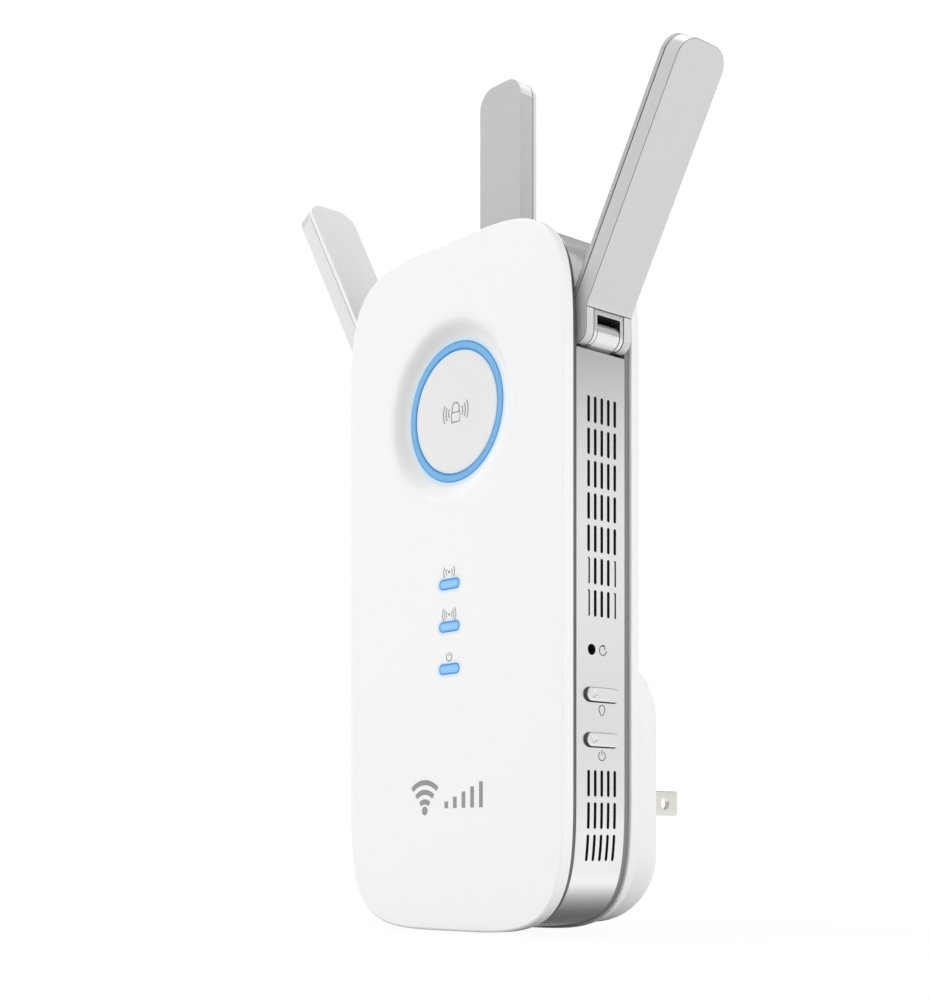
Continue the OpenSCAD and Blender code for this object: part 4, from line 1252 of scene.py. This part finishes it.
def add_painted_tip_highlight(m, h, t, amount=0.9, dark=0.4, lo0=0.90, hi0=0.975):
    """Painted highlight: base colour brightened where the rounded tip's normal faces direction h, and painted shade
    darkening the end that faces t.
    """
    nt = m.node_tree
    L = nt.links
    b = nt.nodes["Principled BSDF"]
    g = nt.nodes.new("ShaderNodeNewGeometry")
    src = b.inputs["Base Color"].links[0].from_socket
    for d, lo, hi, amt, col in ((h, lo0, hi0, amount, 0.98), (t, 0.93, 0.99, dark, 0.2)):
        v = nt.nodes.new("ShaderNodeVectorMath")
        v.operation = "DOT_PRODUCT"
        v.inputs[1].default_value = Vector(d).normalized()
        L.new(g.outputs["Normal"], v.inputs[0])
        q = nt.nodes.new("ShaderNodeMapRange")
        q.interpolation_type = "SMOOTHSTEP"
        q.inputs["From Min"].default_value = lo
        q.inputs["From Max"].default_value = hi
        q.inputs["To Max"].default_value = amt
        L.new(v.outputs["Value"], q.inputs["Value"])
        mix = nt.nodes.new("ShaderNodeMixRGB")
        L.new(q.outputs["Result"], mix.inputs[0])
        L.new(src, mix.inputs[1])
        mix.inputs[2].default_value = (col, col, col, 1)
        src = mix.outputs[0]
    L.new(src, b.inputs["Base Color"])


LEGS_Z = ZB + 0.150
# painted tip highlights, and painted shade on the tip ends, for the right and top antennas
add_painted_tip_highlight(ANT_RIGHT_SIDE_PAINTED_SHADING, (0.433, -0.5, 0.75), (0.5, 0.0, 0.866))
# per-antenna and per-face tones of the same grey plastic: painted light and shade
ANT_RIGHT_THIN_PAINTED_SHADING = plastic("mat_antenna_right_thin_painted_shading", [0.46, 0.46, 0.47], rough=0.36, vary=0.006)
ANT_TOP_SIDE_PAINTED_SHADING = plastic("mat_antenna_top_side_painted_shading", [0.72, 0.72, 0.73], rough=0.36, grain=0.05, coat=0.12, vary=0.006)
add_painted_tip_highlight(ANT_TOP_SIDE_PAINTED_SHADING, (0.64, 0.0, 0.766), (0.0, 0.0, 1.0), 0.95, 0.3, 0.80, 0.93)
ANT_LEFT_SIDE_PAINTED_SHADING = plastic("mat_antenna_left_side_painted_shading", [0.63, 0.63, 0.64], rough=0.36, grain=0.05, coat=0.12, vary=0.006)
ANT_LEFT_THIN_PAINTED_SHADING = plastic("mat_antenna_left_thin_painted_shading", [0.86, 0.86, 0.87], rough=0.36, vary=0.006)
SIDE_PAINTED_SHADING = {"right": ANT_RIGHT_SIDE_PAINTED_SHADING, "top": ANT_TOP_SIDE_PAINTED_SHADING, "left": ANT_LEFT_SIDE_PAINTED_SHADING}
ANT_TOP_PAINTED_SHADING = plastic("mat_antenna_top_painted_shading", [0.52, 0.52, 0.53], rough=0.36, grain=0.05, coat=0.12, vary=0.006)
antenna("right", "antenna_right", at_right, at_right, 30.0, (ANT_RIGHT_PAINTED_SHADING, ANT_RIGHT_PAINTED_SHADING, KNUCKLE), ("antenna_grey", "hinge_silver"))
antenna("left", "antenna_left", at_left, at_left, 30.0, (ANT_LEFT_PAINTED_SHADING, ANT_LEFT_PAINTED_SHADING, KNUCKLE), ("antenna_grey", "hinge_silver"))
antenna("top", "antenna_top", at_top, at_top_arm, 0.0, (ANT_TOP_PAINTED_SHADING, ANT_TOP_PAINTED_SHADING, KNUCKLE), ("antenna_grey", "hinge_silver"))

# ------------------------------------------------------------------ printed marks


def ribbon(B, pts, w, lift, closed=False):
    """A printed stroke: a thin raised ribbon along 2D points. lift(p, level) gives 3D, level 0 the face of the ink."""
    P = np.asarray(pts, float)
    n = len(P)
    if closed:
        d = np.roll(P, -1, 0) - np.roll(P, 1, 0)
    else:
        d = np.gradient(P, axis=0)
    d /= np.linalg.norm(d, axis=1)[:, None]
    nn = np.c_[-d[:, 1], d[:, 0]] * w / 2
    A, C = P + nn, P - nn
    idx = [B.add([lift(p, lv) for p in S]) for lv in (0, 1) for S in (A, C)]
    a0, c0, a1, c1 = idx
    m = n if closed else n - 1
    for i in range(m):
        j = (i + 1) % n
        B.f += [[a0[i], a0[j], c0[j], c0[i]], [a1[i], c1[i], c1[j], a1[j]], [a0[i], a1[i], a1[j], a0[j]], [c0[i], c0[j], c1[j], c1[i]]]
    if not closed:
        B.f += [[a0[0], c0[0], c1[0], a1[0]], [a0[-1], a1[-1], c1[-1], c0[-1]]]


def arc_pts(cx, cy, r, a0, a1, n=20, ry=None):
    a = np.radians(np.linspace(a0, a1, n))
    return np.c_[cx + r * np.cos(a), cy + (ry or r) * np.sin(a)]


def disc(B, cx, cy, r, lift, n=20):
    """A printed dot."""
    idx0 = B.add([lift(p, 0) for p in circle(cx, cy, r, n)])
    idx1 = B.add([lift(p, 1) for p in circle(cx, cy, r, n)])
    B.f.append(idx0)
    B.f.append(list(reversed(idx1)))
    B.strip(idx0, idx1)


def on_front(y0):
    return lambda p, lv: [p[0], y0 - 0.025 + 0.04 * lv, p[1]]


def on_side(x0):
    return lambda p, lv: [x0 + 0.02 - 0.04 * lv, p[0], p[1]]


def mark(name, body, mat, draw, lift):
    B = Build()
    draw(B, lift)
    ob = B.make(name, 0, weld=1e-6)
    finish_piece(ob, body, mat, "print_grey" if "print_grey" in SLOTS else "trim_grey", wn=False)
    return ob


SLOTS = {s["name"] if isinstance(s, dict) else s for s in (frame["record"].get("material_slots") or [])} if isinstance(frame["record"].get("material_slots"), list) else set(frame["record"].get("material_slots") or {})


def draw_lock(B, lift):
    """Generic padlock between radio arcs."""
    cx, cz = 0.0, RING_Z
    w = 0.36
    # padlock body and shackle
    ribbon(B, [[cx - 1.45, cz - 2.35], [cx - 1.45, cz - 0.1], [cx + 1.45, cz - 0.1], [cx + 1.45, cz - 2.35], [cx - 1.45, cz - 2.35]], w, lift)
    sh = [[cx - 1.25, cz - 0.1], [cx - 1.25, cz + 0.85]] + arc_pts(cx, cz + 0.95, 1.25, 180, 0, 18).tolist() + [[cx + 1.25, cz + 0.85], [cx + 1.25, cz - 0.1]]
    ribbon(B, sh, w, lift)
    for s, a0 in ((1, 0), (-1, 180)):
        for r, half in ((2.5, 25), (3.45, 27), (4.4, 29)):
            ribbon(B, arc_pts(cx, cz, r, a0 - half, a0 + half, 20), w, lift)


def fan(B, lift, cx, cz, rs, w, half=45, dot=0.0):
    for r in rs:
        ribbon(B, arc_pts(cx, cz, r, 90 - half, 90 + half, 22), w, lift)
    if dot:
        disc(B, cx, cz + dot * 0.4, dot, lift)


def waves(B, lift, cx, cz, rs, w, dot, half=40):
    disc(B, cx, cz, dot, lift)
    for a0 in (0, 180):
        for r in rs:
            ribbon(B, arc_pts(cx, cz, r, a0 - half, a0 + half, 16), w, lift)


def power_sign(B, lift, cx, cz, r, w):
    ribbon(B, arc_pts(cx, cz, r, 125, 415, 34), w, lift)
    ribbon(B, [[cx, cz + r * 0.15], [cx, cz + r * 1.25]], w, lift)


FRONT = on_front(0.0)
mark("print_lock", "signal_key", PRINT, draw_lock, on_front(DISH_D))
mark("print_band_low", ROOT, PRINT, lambda B, l: waves(B, l, 0, lens_z[0] + 2.85, (1.1, 1.95), 0.3, 0.36), FRONT)
mark("print_band_high", ROOT, PRINT, lambda B, l: waves(B, l, 0, lens_z[1] + 2.85, (1.0, 1.7, 2.4), 0.28, 0.32), FRONT)
mark("print_power_front", ROOT, PRINT, lambda B, l: power_sign(B, l, 0, lens_z[2] + 2.85, 0.98, 0.3), FRONT)


def draw_badge(B, lift):
    """Generic radio fan, and signal bars beside it."""
    fan(B, lift, -8.9, 28.0, (2.6, 4.9, 7.2), 1.25, 40, dot=1.05)
    for i, h in enumerate((1.6, 2.7, 3.8, 4.9, 6.0)):
        x = -1.0 + 3.05 * i
        ribbon(B, [[x, 28.9], [x, 28.9 + h]], 1.3, lift)


mark("print_badge", ROOT, PRINT, draw_badge, FRONT)
XS = HW - BI
SIDE = on_side(XS)


def draw_reset(B, lift):
    """Circular arrow."""
    cx, cz, r = 13.4, RESET_Z, 1.1
    ribbon(B, arc_pts(cx, cz, r, 60, 360, 30), 0.3, lift)
    tip = np.array([cx + r * math.cos(math.radians(60)), cz + r * math.sin(math.radians(60))])
    ribbon(B, [tip + [-0.85, 0.05], tip + [0.1, 0.05]], 0.28, lift)
    ribbon(B, [tip + [-0.02, 0.15], tip + [0.02, -0.8]], 0.28, lift)


def draw_bulb(B, lift):
    """Light bulb: round glass over a screw base."""
    cx, cz = Y_BTN, Z_LED - 3.3
    ribbon(B, arc_pts(cx, cz, 0.95, -55, 235, 30), 0.28, lift)
    ribbon(B, [[cx - 0.52, cz - 0.8], [cx - 0.45, cz - 1.3], [cx + 0.45, cz - 1.3], [cx + 0.52, cz - 0.8]], 0.26, lift)


mark("print_reset", ROOT, PRINT_SIDE, draw_reset, SIDE)
mark("print_light", ROOT, PRINT_SIDE, draw_bulb, SIDE)
mark("print_power_side", ROOT, PRINT_SIDE, lambda B, l: power_sign(B, l, Y_BTN, Z_POW - 3.6, 1.05, 0.28), SIDE)

# ------------------------------------------------------------------ CAD nodes shown as they are
CAD_LOOK = {
    "case_screws": (STEEL, 0.12), "case_pillars": (WHITE, 0.1), "light_baffle": (BLACK_AND_PAINTED_SHADE, 0), "reset_plunger": (BLACK_AND_PAINTED_SHADE, 0.1), "side_switches": (BLACK_AND_PAINTED_SHADE, 0.08),
    "signal_switch": (TIN, 0.08), "main_board": (PCB, 0), "cpu_shield": (TIN, 0.2), "radio_shield": (TIN, 0.2), "thermal_pad": (PAD, 0.1),
    "heat_sink": (SINK, 0.1), "board_chips": (BLACK_AND_PAINTED_SHADE, 0.1), "indicator_leds": (LEDW, 0.05), "ring_leds": (LEDW, 0.05),
    "ethernet_jack": (BLACK_AND_PAINTED_SHADE, 0.15), "ethernet_contacts": (GOLD, 0.04), "coax_sockets": (GOLD, 0.05), "board_screws": (STEEL, 0.1),
    "power_board": (PCB, 0), "power_transformer": (TAPE, 0.2), "power_capacitors": (CAPB, 0.3), "line_choke": (COPPER, 0), "fuse": (CERAMIC, 0.1),
    "dc_wires": (RED, 0), "insulating_sheet": (SHEET, 0), "blade_contacts": (GOLD, 0.06), "coax_cables": (BLACK_AND_PAINTED_SHADE, 0),
    "left_hinge_pin": (STEEL, 0.1), "right_hinge_pin": (STEEL, 0.1), "top_hinge_pin": (STEEL, 0.1),
    "left_radiator": (PCB, 0), "right_radiator": (PCB, 0), "top_radiator": (PCB, 0),
}
for name, ob in NODES.items():
    if ob.hide_render:
        continue
    mat, bev = CAD_LOOK.get(name, (BLACK_AND_PAINTED_SHADE, 0))
    ob.data.materials.clear()
    ob.data.materials.append(mat)
    w = ob.modifiers.new("weld", "WELD")
    w.merge_threshold = 2e-6
    if bev:
        m = ob.modifiers.new("bevel", "BEVEL")
        m.width = bev / 1000
        m.segments = 2
        m.limit_method = "ANGLE"
        m.angle_limit = math.radians(40)
    ob.data.polygons.foreach_set("use_smooth", [True] * len(ob.data.polygons))
    ob.data.set_sharp_from_angle(angle=math.radians(35))
    m = ob.modifiers.new("wn", "WEIGHTED_NORMAL")
    m.keep_sharp = True

# ------------------------------------------------------------------ stage: floor, light, camera
low = min(v[2] for v in CAD_BOX)
FLOOR_Z = low - 0.0005
mesh = bpy.data.meshes.new("floor")
mesh.from_pydata([(-6, -6, FLOOR_Z), (6, -6, FLOOR_Z), (6, 6, FLOOR_Z), (-6, 6, FLOOR_Z)], [], [(0, 1, 2, 3)])
floor = bpy.data.objects.new("floor", mesh)
bpy.context.scene.collection.objects.link(floor)
fm, nt, b = nodes_of("mat_floor")
b.inputs["Base Color"].default_value = (0.55, 0.55, 0.55, 1)
b.inputs["Roughness"].default_value = 0.9
b.inputs["Specular IOR Level"].default_value = 0.05
L = nt.links
# the floor fades into the white backdrop away from the object; in the
# polished band it shows a painted reflection, dark close by and bright far off
co = nt.nodes.new("ShaderNodeTexCoord")
vm = nt.nodes.new("ShaderNodeVectorMath")
vm.operation = "LENGTH"
L.new(co.outputs["Object"], vm.inputs[0])


def floor_range(f0, f1, t0, t1):
    q = nt.nodes.new("ShaderNodeMapRange")
    q.interpolation_type = "SMOOTHSTEP"
    for k, v in zip(("From Min", "From Max", "To Min", "To Max"), (f0, f1, t0, t1)):
        q.inputs[k].default_value = v
    L.new(vm.outputs["Value"], q.inputs["Value"])
    return q.outputs["Result"]


em = nt.nodes.new("ShaderNodeEmission")
em.inputs["Color"].default_value = (1, 1, 1, 1)
em.inputs["Strength"].default_value = 1.02
cammix = nt.nodes.new("ShaderNodeMixShader")
L.new(floor_range(0.02, 0.20, 0.93, 1.0), cammix.inputs[0])
L.new(b.outputs[0], cammix.inputs[1])
L.new(em.outputs[0], cammix.inputs[2])
gl = nt.nodes.new("ShaderNodeEmission")
gl.inputs["Color"].default_value = (1, 1, 1, 1)
lp0 = nt.nodes.new("ShaderNodeLightPath")
near = nt.nodes.new("ShaderNodeMath")
near.operation = "MULTIPLY"
near.inputs[1].default_value = 25.0
near.use_clamp = True
L.new(lp0.outputs["Ray Length"], near.inputs[0])
gr = nt.nodes.new("ShaderNodeValToRGB")
L.new(near.outputs[0], gr.inputs[0])
e = gr.color_ramp.elements
e[0].position, e[0].color = 0.0, (0.02, 0.02, 0.02, 1)
e[1].position, e[1].color = 1.0, (0.9, 0.9, 0.9, 1)
for p, g in ((0.1, 0.025), (0.2, 0.10), (0.33, 0.40), (0.5, 0.80), (0.68, 1.0)):
    q = e.new(p)
    q.color = (g, g, g, 1)
L.new(gr.outputs[0], gl.inputs["Color"])
gl.inputs["Strength"].default_value = 1.15
lp = nt.nodes.new("ShaderNodeLightPath")
m1 = nt.nodes.new("ShaderNodeMixShader")
L.new(lp.outputs["Is Glossy Ray"], m1.inputs[0])
L.new(b.outputs[0], m1.inputs[1])
L.new(gl.outputs[0], m1.inputs[2])
m2 = nt.nodes.new("ShaderNodeMixShader")
L.new(lp.outputs["Is Camera Ray"], m2.inputs[0])
L.new(m1.outputs[0], m2.inputs[1])
L.new(cammix.outputs[0], m2.inputs[2])
L.new(m2.outputs[0], nt.nodes["Material Output"].inputs["Surface"])
mesh.materials.append(fm)

scene = bpy.context.scene
world = bpy.data.worlds.new("world")
scene.world = world
world.use_nodes = True
wt = world.node_tree
WL = wt.links
tc = wt.nodes.new("ShaderNodeTexCoord")
sp = wt.nodes.new("ShaderNodeSeparateXYZ")
WL.new(tc.outputs["Generated"], sp.inputs[0])
mr = wt.nodes.new("ShaderNodeMapRange")
mr.inputs["From Min"].default_value = -1
mr.inputs["From Max"].default_value = 1
WL.new(sp.outputs["Z"], mr.inputs["Value"])


def sky(stops, strength):
    """Backdrop brightness by height: stops of (sine of elevation, grey)."""
    ramp = wt.nodes.new("ShaderNodeValToRGB")
    WL.new(mr.outputs["Result"], ramp.inputs[0])
    e = ramp.color_ramp.elements
    stops = [((z + 1) / 2, g) for z, g in stops]
    e[0].position, e[0].color = stops[0][0], (stops[0][1],) * 3 + (1,)
    e[1].position, e[1].color = stops[-1][0], (stops[-1][1],) * 3 + (1,)
    for p, g in stops[1:-1]:
        q = e.new(p)
        q.color = (g,) * 3 + (1,)
    bgn = wt.nodes.new("ShaderNodeBackground")
    bgn.inputs["Strength"].default_value = strength
    WL.new(ramp.outputs[0], bgn.inputs["Color"])
    return bgn


diffuse_sky = sky([(-1, 0.8), (-0.1, 0.85), (0.3, 0.95), (1, 1.0)], 0.70)
glossy_sky = sky([(-1, 0.3), (-0.02, 0.98), (0.03, 0.88), (0.065, 0.68), (0.10, 0.70), (0.14, 0.98), (0.20, 1.0), (0.245, 1.0), (0.268, 0.55), (0.29, 0.10), (0.36, 0.14), (0.45, 0.34), (0.74, 0.40), (0.86, 1.0), (1, 1.0)], 1.05)
white = wt.nodes.new("ShaderNodeBackground")
white.inputs["Color"].default_value = (1, 1, 1, 1)
white.inputs["Strength"].default_value = 1.05
wlp = wt.nodes.new("ShaderNodeLightPath")
mg = wt.nodes.new("ShaderNodeMixShader")
WL.new(wlp.outputs["Is Glossy Ray"], mg.inputs[0])
WL.new(diffuse_sky.outputs[0], mg.inputs[1])
WL.new(glossy_sky.outputs[0], mg.inputs[2])
mc = wt.nodes.new("ShaderNodeMixShader")
WL.new(wlp.outputs["Is Camera Ray"], mc.inputs[0])
WL.new(mg.outputs[0], mc.inputs[1])
WL.new(white.outputs[0], mc.inputs[2])
WL.new(mc.outputs[0], wt.nodes["World Output"].inputs["Surface"])

C = Vector((0.0, -0.03, 0.06))


def area(name, az, el, dist, size, energy, size_y=None, target=C):
    """Soft box at a direction seen from the object: azimuth from the front towards the right."""
    a, e_ = math.radians(az), math.radians(el)
    d = Vector((math.sin(a) * math.cos(e_), -math.cos(a) * math.cos(e_), math.sin(e_)))
    L = bpy.data.lights.new(name, "AREA")
    L.shape = "RECTANGLE"
    L.size = size
    L.size_y = size_y or size
    L.energy = energy
    ob = bpy.data.objects.new(name, L)
    ob.location = target + d * dist
    ob.rotation_mode = "QUATERNION"
    ob.rotation_quaternion = (-d).to_track_quat("-Z", "Y")
    scene.collection.objects.link(ob)
    ob.visible_camera = False
    ob.visible_glossy = False
    return ob


area("key", -8, 6, 1.4, 0.8, 5.2)
area("high left", -48, 40, 1.4, 0.7, 6.6)
area("right", 100, 6, 1.3, 0.8, 8.6)
area("left", -110, 20, 1.3, 0.8, 3.4)
area("top", 20, 80, 1.2, 1.0, 0.8)
area("back", 175, 30, 1.4, 0.9, 2.6)

cam_data = bpy.data.cameras.new("camera")
cam = bpy.data.objects.new("camera", cam_data)
scene.collection.objects.link(cam)
phi = math.radians(48.666)
fwd = Vector((-math.sin(phi), math.cos(phi), 0.0))
cam.location = Vector((0.30283, YF - 0.26248, ZB + 0.01817))
cam.rotation_mode = "QUATERNION"
cam.rotation_quaternion = fwd.to_track_quat("-Z", "Y")
cam_data.sensor_fit = "AUTO"
cam_data.sensor_width = 36.0
cam_data.lens = 61.257
SHIFT = {"shift_x": 0.0035, "shift_y": 0.3538}


def shift_driver(prop, value):
    """The lens shift holds only at the photograph's own camera place; other viewpoints have none."""
    fc = cam_data.driver_add(prop)
    drv = fc.driver
    drv.type = "SUM"
    many = 32
    for i in range(many):
        v = drv.variables.new()
        v.name = "px%d" % i
        v.type = "TRANSFORMS"
        v.targets[0].id = cam
        v.targets[0].transform_type = "LOC_X"
        v.targets[0].transform_space = "WORLD_SPACE"
    for m in list(fc.modifiers):
        fc.modifiers.remove(m)
    x0 = cam.location.x * many
    for x, y in ((x0 - 0.1, 0.0), (x0, value), (x0 + 0.1, 0.0)):
        k = fc.keyframe_points.insert(x, y)
        k.interpolation = "LINEAR"
    fc.extrapolation = "CONSTANT"


for prop, value in SHIFT.items():
    shift_driver(prop, value)
scene.camera = cam
scene.view_settings.view_transform = "Standard"
scene.view_settings.look = "None"
scene.view_settings.exposure = 0.0
scene.view_settings.gamma = 1.0
